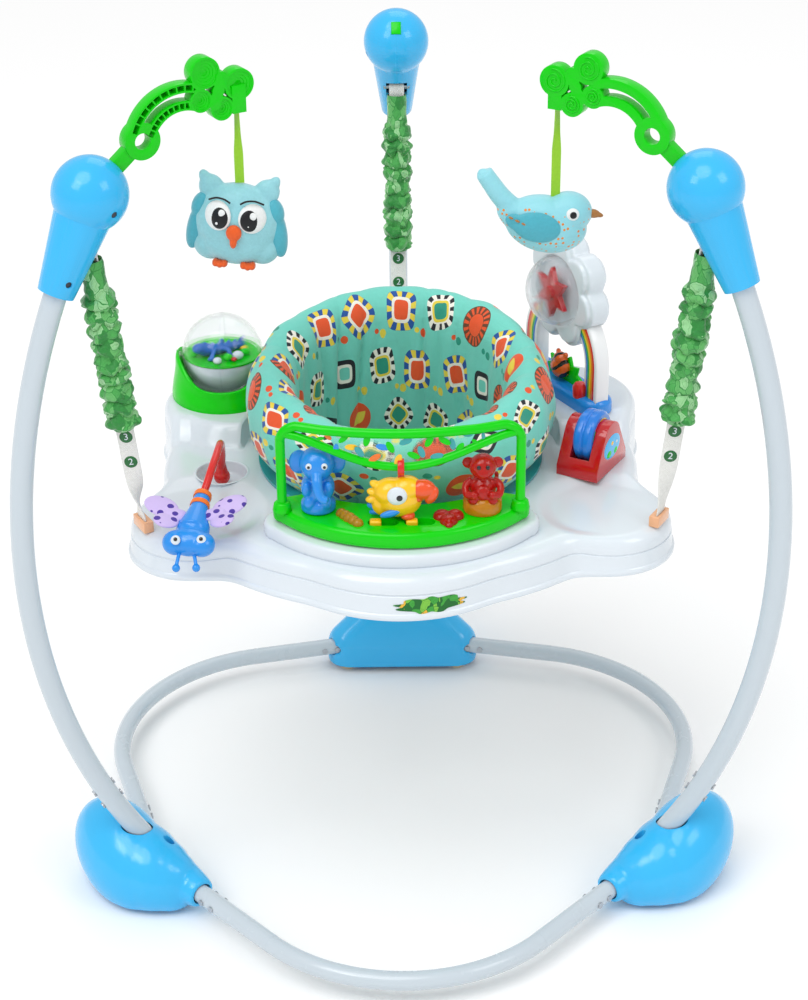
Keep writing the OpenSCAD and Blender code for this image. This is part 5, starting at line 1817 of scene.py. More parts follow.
    def switches(self) -> None:
        """Builds the two sliding knobs, each with grip ribs."""
        for name, body in (("power_switch", "power_knob"), ("volume_switch", "volume_knob")):
            low, high = (Vector(corner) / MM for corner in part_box(name))
            knob = Blank.of_node(name).round_edges(2.2, 40.0, 4)
            ribs = Blank(Matrix.Identity(4))
            for i in (-1, 0, 1):
                x = (low.x + high.x) / 2 + 3.0 * i
                ribs.tube([(x, low.y + 2.4, high.z - 0.1), (x, high.y - 2.4, high.z - 0.1)], 0.7, 10)
            fit(knob.piece(f"{name}_cap"), Shade.yellow, body, "knob_yellow", name)
            fit(ribs.piece(f"{name}_ribs"), Shade.yellow, body, "knob_yellow")

    def elephant(self) -> None:
        """Builds the blue elephant on its post: body, ears, trunk and eyes."""
        form = Blank(PLAN.shift(-92, PLAN.hoop_y + 2, PLAN.console_z + 0.4))
        form.lathe([(0, 0), (18.5, 0), (19.6, 2), (19.4, 9), (16, 13), (0, 14)], 40)
        form.ball((0, 0, 27), (19, 17, 20)).ball((0, -2, 57), (19.5, 19, 19.5))
        for side in (-1, 1):
            form.ball((side * 19.5, 4, 56), (12.5, 4.2, 15), (0, side * 10, side * -14))
            form.ball((side * 9, -13, 14), (7, 7, 9)).ball((side * 12, -13, 30), (6, 7, 12), (28, 0, 0))
        trunk = through([(0, -15, 52), (0, -24, 44), (2, -28, 33), (6, -30, 27), (12, -32, 26)], 4)
        form.tube(trunk, [6.4 - 2.2 * i / (len(trunk) - 1) for i in range(len(trunk))], 16)
        fit(form.clay("elephant_skin", 1.2, 3), Shade.blue, "elephant", "toy_blue", "elephant")
        for side in (-1, 1):
            dab(f"elephant_eye_{side + 1}", form.place, (side * 8.5, -18.6, 61), (3.6, 2.4, 3.9), Shade.white,
                "elephant", "toy_white")
            dab(f"elephant_pupil_{side + 1}", form.place, (side * 8.7, -20.5, 61), (1.7, 1.1, 1.9),
                Shade.black, "elephant", "toy_blue")

    def monkey(self) -> None:
        """Builds the clear red monkey on its orange base."""
        place = PLAN.shift(90, PLAN.hoop_y - 2, PLAN.console_z + 0.4)
        base = Blank(place).lathe([(0, 0), (21.4, 0), (22, 2), (21.4, 12), (17, 18), (0, 19.5)], 48)
        fit(base.piece("monkey_base", 50.0), Shade.amber, "monkey", "monkey_red", "monkey")
        form = Blank(place).ball((0, 0, 27), (15.5, 14, 15.5)).ball((0, -3, 54), (15.5, 14.5, 14.5))
        form.ball((0, -13, 50), (8.5, 6, 6.5)).ball((0, -12, 25), (9.5, 6, 10))
        for side in (-1, 1):
            form.ball((side * 16, 0, 57), (7, 3.6, 7)).ball((side * 11, -10, 17), (7, 10, 6))
            arm = through([(side * 12, -2, 37), (side * 19, -6, 32), (side * 18, -15, 25),
                           (side * 11, -19, 26)], 5)
            form.tube(arm, 4.2, 14).ball((side * 10, -19, 26), 4.8)
        tail = through([(0, 13, 20), (9, 18, 22), (16, 16, 30), (15, 13, 38)], 5)
        form.tube(tail, 2.6, 12)
        fit(form.clay("monkey_skin", 1.1, 3), Shade.ruby, "monkey", "monkey_red")
        for side in (-1, 1):
            dab(f"monkey_eye_{side + 1}", place, (side * 5, -16.4, 58.5), (2.3, 1.6, 2.6),
                Shade.black, "monkey", "monkey_red")

    def parrot(self) -> None:
        """Builds the yellow parrot that hangs from the lower bar by a red loop."""
        place = PLAN.shift(0, PLAN.hoop_y - self.bow, PLAN.console_z + 62)
        ring = [(6.4, -3.6), (9.0, -3.6), (9.3, -3), (9.3, 3), (9.0, 3.6), (6.4, 3.6)]
        loop = Blank(place).lathe(ring, 40, closed=True, turn=(0, 90, 0))
        loop.plate([(-3.4, -9), (3.4, -9), (3.4, -20), (-3.4, -20)], 2.4, (0, 1.2, 0), (90, 0, 0))
        loop.round_edges(0.4, 50)
        fit(loop.piece("parrot_loop"), Shade.red, "parrot", "roller_red", "parrot")
        place = place @ shifted(0, 0, 10) @ Matrix.Scale(1.26, 4)
        wide = place @ Matrix.Diagonal((1.1, 1.1, 1.03, 1.0))
        form = Blank(wide).ball((-1, 0, -37), (18, 13, 17)).ball((-8, -1, -30), (14, 11.5, 12))
        form.ball((4, -1, -27), (13, 11, 11)).ball((-13, 1, -43), (11, 8, 11))
        for i, (x, z) in enumerate(((-20, -24), (-22, -31), (-23, -38))):
            form.ball((x, 0, z), (5.5, 4, 3.4), (0, 28 - 18 * i, 0))
        fit(form.clay("parrot_skin", 1.0, 3), Shade.yellow, "parrot", "parrot_yellow")
        beak = Blank(wide).ball((17, -4, -27), (10.5, 7, 9)).ball((24, -5, -32), (5, 4.5, 8.5), (0, 24, 0))
        beak.ball((13, -4, -35), (5, 4.5, 3.6)).ball((5, -5, -51), (6, 6, 4))
        fit(beak.clay("parrot_beak", 0.8, 3), Shade.coral, "parrot", "tiger_orange")
        tail = Blank(wide).ball((-20, 1, -46), (8, 3, 3.4), (0, 20, 0))
        tail.ball((-19, 1, -50), (7, 3, 3), (0, -12, 0)).ball((-9, -11, -46), (8.5, 2.6, 3.2), (0, -16, 0))
        fit(tail.clay("parrot_feathers", 0.8, 2), Shade.blue, "parrot", "toy_blue")
        dab("parrot_eye", place, (-3.5, -12.6, -30), (8.8, 3.4, 8.8), Shade.white,
            "parrot", "toy_white", facets=32)
        dab("parrot_pupil", place, (-1.5, -15.8, -30.5), (2.8, 0.9, 2.8), Shade.black, "parrot", "toy_blue")


@dataclass
class GlobeToy:
    """The clear ball on the left pod, with a lizard and loose beads in it, and its green cradle."""

    radius: float = 50.0
    gap: float = 2.6
    wall_reach: float = 15.0
    wall_high: float = 22.0
    tip: float = 28.0
    tip_spread: float = 0.8
    lean: float = 0.52

    def build(self) -> None:
        """Builds the cradle, the seam, the lizard and the beads, and dresses the ball."""
        fit(self.cradle(), Shade.leaf, "tray", "arm_green", "globe_cradle")
        paint_node("globe_ball", Shade.clear)
        place = PLAN.shift(*PLAN.globe_at)
        ring = [(self.radius - 0.4, -1.0), (self.radius + 0.5, -0.8), (self.radius + 0.5, 0.8),
                (self.radius - 0.4, 1.0)]
        seam = Blank(place).lathe(ring, 96, closed=True, turn=(0, 90, 0))
        fit(seam.piece("globe_seam"), Shade.clear, "globe", "clear")
        form = Blank(place)
        spine = through([(-26, -16, 12), (-16, -10, 8), (-4, -4, 7), (8, 2, 7), (17, 8, 6),
                         (23, 16, 5), (20, 25, 5)], 5)
        thick = [8.0 - 5.6 * abs(i / (len(spine) - 1) - 0.12) for i in range(len(spine))]
        form.tube(spine, thick, 14).ball((-27, -17, 13), (9, 7.5, 6.5), (0, 0, 32))
        for x, y in ((-12, -28), (-27, 4), (10, -16), (-2, 18)):
            form.tube(through([(x * 0.3 - 5, y * 0.3 - 3, 8), (x * 0.8, y * 0.8, 9), (x, y, 4)], 4), 3.2, 10)
            for k in (-1, 0, 1):
                form.ball((x + 2.6 * k, y - 1.5, 3.6), 2.2, facets=12)
        for i in range(7):
            p = spine[3 + 4 * i]
            form.ball((p.x, p.y, p.z + 7.2 - 0.4 * i), (2.6, 2.2, 3.4), facets=12)
        fit(form.clay("globe_lizard_skin", 1.0, 2), Shade.cobalt, "globe", "toy_blue", "globe_lizard")
        floor = Blank(place).lathe([(0, -1), (47.4, -1), (47.6, 0), (47.4, 1), (0, 1)], 72)
        fit(floor.piece("globe_disc"), Shade.leaf, "globe", "arm_green")
        bowl = Blank(place).lathe(arc((0, 0), 47.6, -90, -2, 24) + [(46.4, -1.6), (0, -1.6)], 72)
        fit(bowl.piece("globe_bowl"), Shade.white, "globe", "clear")
        beads = (("leaf", (8, -26, 4), 6), ("white", (20, -20, 4), 7), ("leaf", (28, -8, 3), 6),
                 ("yellow", (26, 4, 3), 4), ("white", (-4, -36, 4), 5.5), ("red", (16, -30, 3), 3.4),
                 ("leaf", (-34, -14, 3), 4.5))
        for i, (colour, at, size) in enumerate(beads):
            dab(f"globe_bead_{i}", place, (at[0], at[1], at[2] + 1), (size, size, size * 0.75),
                getattr(Shade, colour), "globe", "clear")

    def cradle(self) -> bpy.types.Object:
        """The cradle's ring, drawn up to a leaf tip at each end of the axle and low between them.

        Returns:
            The object.
        """
        low, high = PLAN.pod_z, self.wall_high
        inner, outer = self.radius + self.gap, self.radius + self.wall_reach
        wall = [(outer, low + high * i / 10) for i in range(11)]
        crown = [(outer - 1.5, low + high + 2), ((inner + outer) / 2, low + high + 3),
                 (inner + 1.5, low + high + 2)]
        back = [(inner, low + high * (1 - i / 10)) for i in range(11)]
        x, y, _ = PLAN.globe_at
        ring = Blank(PLAN.shift(x, y, 0)).lathe(wall + crown + back, 144, closed=True).warp(self.draw_up)
        return ring.round_edges(1.0, 50.0).piece("globe_cradle_shell", 44.0)

    def draw_up(self, p: Vector) -> Vector:
        """Leans the cradle's wall in towards its top, and draws it up to a tip at each end of the axle.

        Args:
            p: A point of the plain ring.

        Returns:
            Its new place.
        """
        angle = math.atan2(p.y, p.x)
        off = min(abs(angle), math.pi - abs(angle))
        share = (p.z - PLAN.pod_z) / self.wall_high
        r = math.hypot(p.x, p.y)
        r -= (r - (self.radius + self.gap)) * self.lean * ease(share)
        lift = share * self.tip * math.exp(-((off / self.tip_spread) ** 3))
        return polar(r, angle, p.z + lift)


@dataclass
class ArchToy:
    """The rainbow arch on the right pod: blue station, cloud, dome, star, leaf and tiger."""

    grow: float = 1.2

    def build(self) -> None:
        """Builds and dresses the arch's pieces."""
        rainbow = Rainbow("rainbow_print", srgb("F4F5F6"), coat=0.3)
        shell("toy_station", "toy_station_shell", Shade.blue, "station_blue", (1.2, 30.0, 3), 36.0)
        shell("rainbow_arch", "rainbow_arch_shell", rainbow, "toy_white", (2.4, 40.0, 3), 40.0)
        cloud = self.grown("cloud_shell").clay("cloud_skin", 1.4, 8)
        fit(cloud, Shade.white, "tray", "toy_white", "cloud_shell")
        fit(self.grown("cloud_dome").piece("cloud_dome_shell", 40.0), Shade.clear,
            "tray", "clear", "cloud_dome")
        star = self.grown("star_spinner").round_edges(1.2, 40.0, 3).piece("star_shell", 40.0)
        fit(star, Shade.wine, "star", "roller_red", "star_spinner")
        self.tiger()

    def grown(self, node: str) -> Blank:
        """A copy of one of the cloud's nodes, grown across the star's axle.

        Args:
            node: The node's name.

        Returns:
            The copy.
        """
        axle = PLAN.arch() @ shifted(0, 0, PLAN.cloud_z)
        blank = Blank.of_node(node)
        wide = Matrix.Diagonal((1.0, self.grow, self.grow, 1.0))
        bmesh.ops.transform(blank.bm, matrix=axle @ wide @ axle.inverted(), verts=blank.bm.verts)
        return blank

    def tiger(self) -> None:
        """Builds the leaf and the striped tiger in front of it."""
        stripes = Striped("tiger_stripes", srgb("F0641C"), gloss=0.24)
        place = PLAN.arch() @ shifted(-2, 0, PLAN.pod_z + 18)
        outline = [(-30, -1), (30, -1), (36, 10), (27, 14), (30, 24), (18, 22), (12, 32), (0, 25), (-12, 34),
                   (-17, 22), (-30, 25), (-27, 14), (-37, 10)]
        leaf = Blank(place).plate(outline, 5, (-2.5, 0, 0), (90, 0, 90)).round_edges(1.5, 20.0, 3)
        fit(leaf.piece("tiger_leaf"), Shade.leaf, "tray", "arm_green", "leaf_tiger")
        form = Blank(place).ball((-6, 0, 18), (12, 15.5, 15)).ball((-8, -2, 30), (8.5, 10, 8))
        for side in (-1, 1):
            form.ball((-6, side * 8 - 2, 36), (3, 3.6, 3.8))
        fit(form.clay("tiger_skin", 1.0, 3), stripes, "tray", "tiger_orange")
        peg = Blank(place @ shifted(-12, -50, 0))
        peg.lathe([(0, -2), (8, -2), (8.6, 4), (8.6, 12), (6, 16), (0, 17.5)], 32)
        fit(peg.piece("station_peg"), Shade.red, "tray", "roller_red")


@dataclass
class Roller:
    """The red roller housing on the deck with its printed wheel."""

    turn: float = -30.0
    sign_x: float = 26.2

    def build(self) -> None:
        """Builds the housing, its side panels and the wheel."""
        shell("roller_base", "roller_housing", Shade.wine, "roller_red", (4.0, 34.0, 4), 38.0)
        spot = PLAN.spot(*PLAN.wheel_at)
        sectors = Pie("roller_print", srgb("1B7FE0"), gloss=0.2, coat=0.3, flow=0.05, at=tuple(spot),
                      turn=self.turn, core=0.023)
        shell("roller_wheel", "roller_drum", sectors, "toy_blue", (1.4, 36.0, 3), 40.0, "roller")
        place = PLAN.shift(*PLAN.wheel_at) @ rotated(self.turn)
        sign = Blank(place)
        for side in (-1, 1):
            sign.ball((side * self.sign_x, 0, -9), (1.6, 22, 15), facets=40)
        fit(sign.piece("roller_signs", 60.0), Shade.sky, "tray", "roller_red")
        dots = (("leaf", 8, -16, 5.5), ("leaf", -9, -15, 6.5),
                ("yellow", -2, -4, 4.2), ("white", 10, -6, 2.8))
        for i, (colour, y, z, size) in enumerate(dots):
            dot = Blank(place)
            for side in (-1, 1):
                dot.ball((side * (self.sign_x + 0.7), y, z), (1.2, size, size * 0.8), facets=20)
            fit(dot.piece(f"roller_dot_{i}"), getattr(Shade, colour), "tray", "roller_red")


@dataclass
class Bug:
    """The blue bug on its bent red stalk, with orange bands and lilac cloth wings."""

    tail: tuple[float, float, float] = (-9.5, -131.0, 47.0)
    head: tuple[float, float, float] = (-24.0, -214.0, 16.0)
    stalk: tuple[tuple[float, float, float], ...] = (
        (0, 0, 0), (0, -2, 14), (2, -9, 32), (3, -23, 51), (4, -42, 64), (4, -64, 70), (2, -86, 69),
        (-2, -107, 63), (-6, -122, 54), (-9, -130, 48), (-12, -140, 42),
    )

    def build(self) -> None:
        """Builds the stalk, the body, the face and the wings."""
        place = PLAN.shift(*PLAN.stalk_at)
        stalk = Blank(place).tube(through(self.stalk, 6), 4.5, 20)
        stalk.ball((0, 0, 0), 9.8, facets=32)
        stalk.lathe([(0, 1), (9.2, 1), (8.4, 4), (6.2, 11), (4.9, 19), (0, 19)], 40)
        fit(stalk.piece("bug_stalk_tube", 60.0), Shade.red, "bug", "roller_red", "bug_stalk")
        tail, head = Vector(self.tail), Vector(self.head)
        way = (head - tail).normalized()
        turn = way.to_track_quat("Z", "Y").to_matrix().to_4x4()
        axes = place @ Matrix.Translation(tail * MM) @ turn
        long = (head - tail).length
        body = Blank(axes)
        body.lathe([(0, 2), (6.4, 2), (8.6, 4), (9.4, 12), (10.2, 24), (12.6, 34), (15.5, 46),
                    (17.5, 58), (0, 62)], 40)
        body.ball((0, 0, long * 0.82), (24, 16, 17)).ball((0, 0, long * 0.62), (19, 15, 20))
        for side in (-1, 1):
            body.ball((side * 15, 1, long * 0.86), (15, 13.5, 14.5))
        fit(body.clay("bug_skin", 1.1, 4), Shade.blue, "bug", "toy_blue", "bug_body")
        bands = Blank(axes)
        for low, high, radius in ((3, 9, 10.0), (17, 23, 10.9)):
            ring = [(radius - 2, low), (radius, low), (radius + 0.5, (low + high) / 2),
                    (radius + 0.2, high), (radius - 2, high)]
            bands.lathe(ring, 48, closed=True)
        fit(bands.piece("bug_bands"), Shade.orange, "bug", "tiger_orange")
        self.face(place @ Matrix.Translation(head * MM))
        self.wings(place @ Matrix.Translation((tail + (head - tail) * 0.5) * MM))

    def face(self, place: Matrix) -> None:
        """Builds the eyes and the feelers.

        Args:
            place: Axes at the middle of the head.
        """
        for side in (-1, 1):
            dab(f"bug_eye_{side + 1}", place, (side * 14 + 3, 2, 15), (5.4, 3.4, 5.4), Shade.white, "bug",
                "toy_white", (-40, 0, 0))
            dab(f"bug_pupil_{side + 1}", place, (side * 14 + 3, -0.6, 17.4), (2.2, 1.3, 2.2), Shade.black,
                "bug", "toy_blue", (-40, 0, 0))
        feelers = Blank(place)
        for side in (-1, 1):
            feelers.tube(through([(side * 8, 4, -2), (side * 10, -6, -8), (side * 11, -10, -12)], 4), 2.2, 12)
            feelers.ball((side * 11, -11, -13), 4.6)
        fit(feelers.clay("bug_feelers", 0.7, 2), Shade.blue, "bug", "toy_blue")

    def wings(self, place: Matrix) -> None:
        """Builds the four padded cloth wings.

        Args:
            place: Axes at the middle of the body.
        """
        for side in (-1, 1):
            pad = Blank(place)
            pad.ball((side * 38, 16, 12), (21, 15, 3.6), (12, -side * 14, side * 24), 32)
            pad.ball((side * 31, -10, 8), (15, 13, 3.4), (12, -side * 14, -side * 20), 32)
            pad.ball((side * 20, 4, 8), (14, 10, 3), (12, -side * 14, 0), 24)
            wing = pad.clay(f"bug_wing_{side + 1}", 1.0, 3)
            nodes = ("bug_wings",) if side < 0 else ()
            fit(wing, Shade.lilac, "bug", "wing_cloth", *nodes)


@dataclass
class Seat:
    """The padded seat: a gathered bucket of printed cloth, swelled by its filling, in its teal ring."""

    gathers: int = 20
    back_rise: float = 25.0
    leg_hole: tuple[float, float, float] = (59.0, -8.0, 44.0)
    leg_hole_z: float = 343.0
    grain: float = 5.0
    cap: float = 12.0
    cells: int = 16
    cell_height: float = 0.062
    folds: int = 23
    fold_depths: tuple[float, float, float] = (2.2, 7.0, 2.4)
    lump: float = 3.0
    ring_way: float = 296.0
    outer_end: tuple[float, float] = (300.0, 90.0)
    rim_start: tuple[float, float] = (310.0, 60.0)
    rim_end: tuple[float, float] = (470.0, 60.0)
    inner_start: tuple[float, float] = (430.0, 90.0)
    inner_end: tuple[float, float] = (690.0, 60.0)
    sewn_low: float = 372.0
    sewn_ring: tuple[float, float, float] = (146.0, 455.0, 514.0)
    frames: int = 20
    section: tuple[tuple[float, float, float, float], ...] = (
        (0, 337, 0, 0), (64, 337, 0, 0), (104, 340, 0, 1.5), (128, 361, 0, 2.5), (138, 403, 0, 2),
        (143, 445, 0, 1.5), (153, 466, 0, 0), (153, 488, 0, 0), (153, 509.5, 0, 0), (164, 517, 0, 1),
        (180, 543.4, 0.1, 2.5), (184, 576.7, 0.35, 3), (179, 607.4, 0.7, 3), (163.5, 630, 1, 2),
        (145.5, 630, 1, 2), (127, 607.4, 0.8, 3), (124, 549.8, 0.3, 4), (126, 495, 0, 3), (131, 441, 0, 1.5),
        (122, 399, 0, 1.5), (112, 367, 0, 1.5), (64, 349, 0, 0), (0, 349, 0, 0),
    )
    course: list[Vector] = field(init=False, default_factory=list)
    ways: list[float] = field(init=False, default_factory=list)

    def __post_init__(self) -> None:
        """Works out the section's eased line, and the way along it."""
        self.course = through(self.section, 4)
        self.ways = [0.0]
        for a, b in zip(self.course, self.course[1:]):
            self.ways.append(self.ways[-1] + math.hypot(b.x - a.x, b.y - a.y))

    def build(self) -> None:
        """Builds the seat and dresses its ring and retainer."""
        paint_node("seat_ring", Shade.teal)
        paint_node("seat_retainer", Shade.teal)
        pad = self.blank()
        self.plump(pad)
        self.map_cells(pad)
        pad = settled(pad, "SUBSURF", levels=1, render_levels=1)
        self.crease(pad)
        pad.name = "seat_pad_cloth"
        fit(pad, Shade.seat, "seat", "seat_cloth", "seat_pad")

    def spot(self, co: Vector) -> tuple[float, float]:
        """The cloth's own place of a point.

        Args:
            co: The point.

        Returns:
            The angle round the seat, and the millimetres along its section.
        """
        x, y, z = co.x / MM, co.y / MM - PLAN.axis_y, co.z / MM
        r = math.hypot(x, y)
        angle = math.atan2(y, x)
        rise = self.back_rise * math.sin(angle)
        line = self.course
        best = min(range(len(line)),
                   key=lambda i: (line[i].x - r) ** 2 + (line[i].y + rise * line[i].z - z) ** 2)
        step = 0.0
        if 0 < best < len(line) - 1:
            way = Vector((line[best + 1].x - line[best - 1].x, line[best + 1].y - line[best - 1].y))
            off = Vector((r - line[best].x, z - line[best].y - rise * line[best].z))
            step = off.dot(way.normalized())
        return angle, self.ways[best] + step

    def crease(self, pad: bpy.types.Object) -> None:
        """Presses creases into the cloth, deepest on the inner wall, and lumps into the rim.

        Args:
            pad: The seat's mesh.
        """
        normals = [v.normal.copy() for v in pad.data.vertices]
        spans = (self.outer_end, self.rim_start, self.rim_end, self.inner_start, self.inner_end)
        for vert, normal in zip(pad.data.vertices, normals):
            angle, way = self.spot(vert.co)
            x, y = math.cos(angle), math.sin(angle)
            phase = self.folds * angle / 2 + 3.2 * noise.noise(Vector((x * 1.7, y * 1.7, way * 0.005)))
            sharp = 1 - abs(math.sin(phase)) ** 0.5
            draw = noise.noise(Vector((x * 2.8 + 5, y * 2.8, way * 0.007)))
            strong = min(1.0, max(0.12, 0.55 + 1.1 * draw))
            outer, rim, over, inner, low = (ease((way - start) / length) for start, length in spans)
            lump = noise.noise(Vector((x * 3.4, y * 3.4, way * 0.016 + 3)))
            swell = self.lump * lump * rim * (1 - 0.4 * over)
            shares = (1.0, inner * (1 - 0.6 * low), 1 - outer)
            if way < self.ring_way:
                swell = 0.0
                shares = (1.0, shares[1], 0.3)
            depth = sum(d * share for d, share in zip(self.fold_depths, shares))
            vert.co += normal * MM * (swell - strong * sharp * depth)

    def blank(self) -> bpy.types.Object:
        """The gathered bucket with its leg holes, in even faces.

        Returns:
            The object.
        """
        made = Blank().lathe([(max(0.0, p.x), p.y) for p in self.course], 240).warp(self.gather)
        bucket = made.piece("seat_blank", 80.0)
        x, y, radius = self.leg_hole
        for side in (-1, 1):
            punch = Blank(PLAN.shift(side * x, y, self.leg_hole_z))
            bucket = punched(bucket, punch.lathe([(0, -30), (radius, -30), (radius, 34), (0, 34)], 64))
        return refaced(bucket, self.grain).smooth(2).piece("seat_cloth", 80.0)

    def gather(self, p: Vector) -> Vector:
        """Draws a point of the plain bucket into its gathers, and lifts the rim towards the back.

        Args:
            p: The point.

        Returns:
            Its new place.
        """
        r = math.hypot(p.x, p.y)
        angle = math.atan2(p.y, p.x)
        near = min(self.course, key=lambda q: (q.x - r) ** 2 + (q.y - p.z) ** 2)
        wave = (1 - math.cos(self.gathers * angle + 0.014 * near.y)) / 2
        spot = Vector((math.cos(angle) * 2.2, math.sin(angle) * 2.2, near.y * 0.012))
        r -= near.w * 1.5 * (0.7 + 0.6 * noise.noise(spot)) * wave
        z = p.z + self.back_rise * near.z * math.sin(angle)
        return polar(r, angle, z)

    def plump(self, pad: bpy.types.Object) -> None:
        """Swells the cloth over its filling, held at the sewn ring and the bottom.

        Args:
            pad: The seat's mesh.
        """
        rest = [v.co.copy() for v in pad.data.vertices]
        reach, low, high = self.sewn_ring
        held = pad.vertex_groups.new(name="held")
        for i, co in enumerate(rest):
            z = co.z / MM
            r = math.hypot(co.x, co.y - PLAN.axis_y * MM) / MM
            fold = (1 - math.cos(self.gathers * math.atan2(co.y - PLAN.axis_y * MM, co.x) + 0.014 * z)) / 2
            sewn = 1.0 if z < self.sewn_low or (r > reach and low < z < high) else 0.0
            held.add([i], max(sewn, 0.5 * fold ** 8), "REPLACE")
        cloth = pad.modifiers.new("filling", "CLOTH")
        setup = cloth.settings
        setup.quality = 5
        setup.mass = 0.15
        setup.tension_stiffness = 12
        setup.compression_stiffness = 12
        setup.bending_stiffness = 0.4
        setup.use_pressure = True
        setup.uniform_pressure_force = 3.2
        setup.vertex_group_mass = "held"
        setup.pin_stiffness = 1.0
        setup.effector_weights.gravity = 0.0
        cloth.collision_settings.use_collision = False
        cloth.point_cache.frame_start = 1
        cloth.point_cache.frame_end = self.frames
        scene = bpy.context.scene
        for frame in range(1, self.frames + 1):
            scene.frame_set(frame)
        graph = bpy.context.evaluated_depsgraph_get()
        moved = [v.co.copy() for v in pad.evaluated_get(graph).data.vertices]
        pad.modifiers.remove(cloth)
        scene.frame_set(1)
        pad.vertex_groups.clear()
        for vert, was, now in zip(pad.data.vertices, rest, moved):
            step = now - was
            if step.length > self.cap * MM:
                step *= self.cap * MM / step.length
            vert.co = was + step

    def map_cells(self, pad: bpy.types.Object) -> None:
        """Lays the print's map on the cloth: round the seat, and along its section.

        Args:
            pad: The seat's mesh.
        """
        heights = {}
        for vert in pad.data.vertices:
            angle, way = self.spot(vert.co)
            heights[vert.index] = (angle / TURN * self.cells, way * MM / self.cell_height)
        layer = pad.data.uv_layers.new(name="cells")
        for face in pad.data.polygons:
            first = heights[pad.data.loops[face.loop_start].vertex_index][0]
            for loop in face.loop_indices:
                u, v = heights[pad.data.loops[loop].vertex_index]
                u += self.cells * round((first - u) / self.cells)
                layer.data[loop].uv = (u, v)


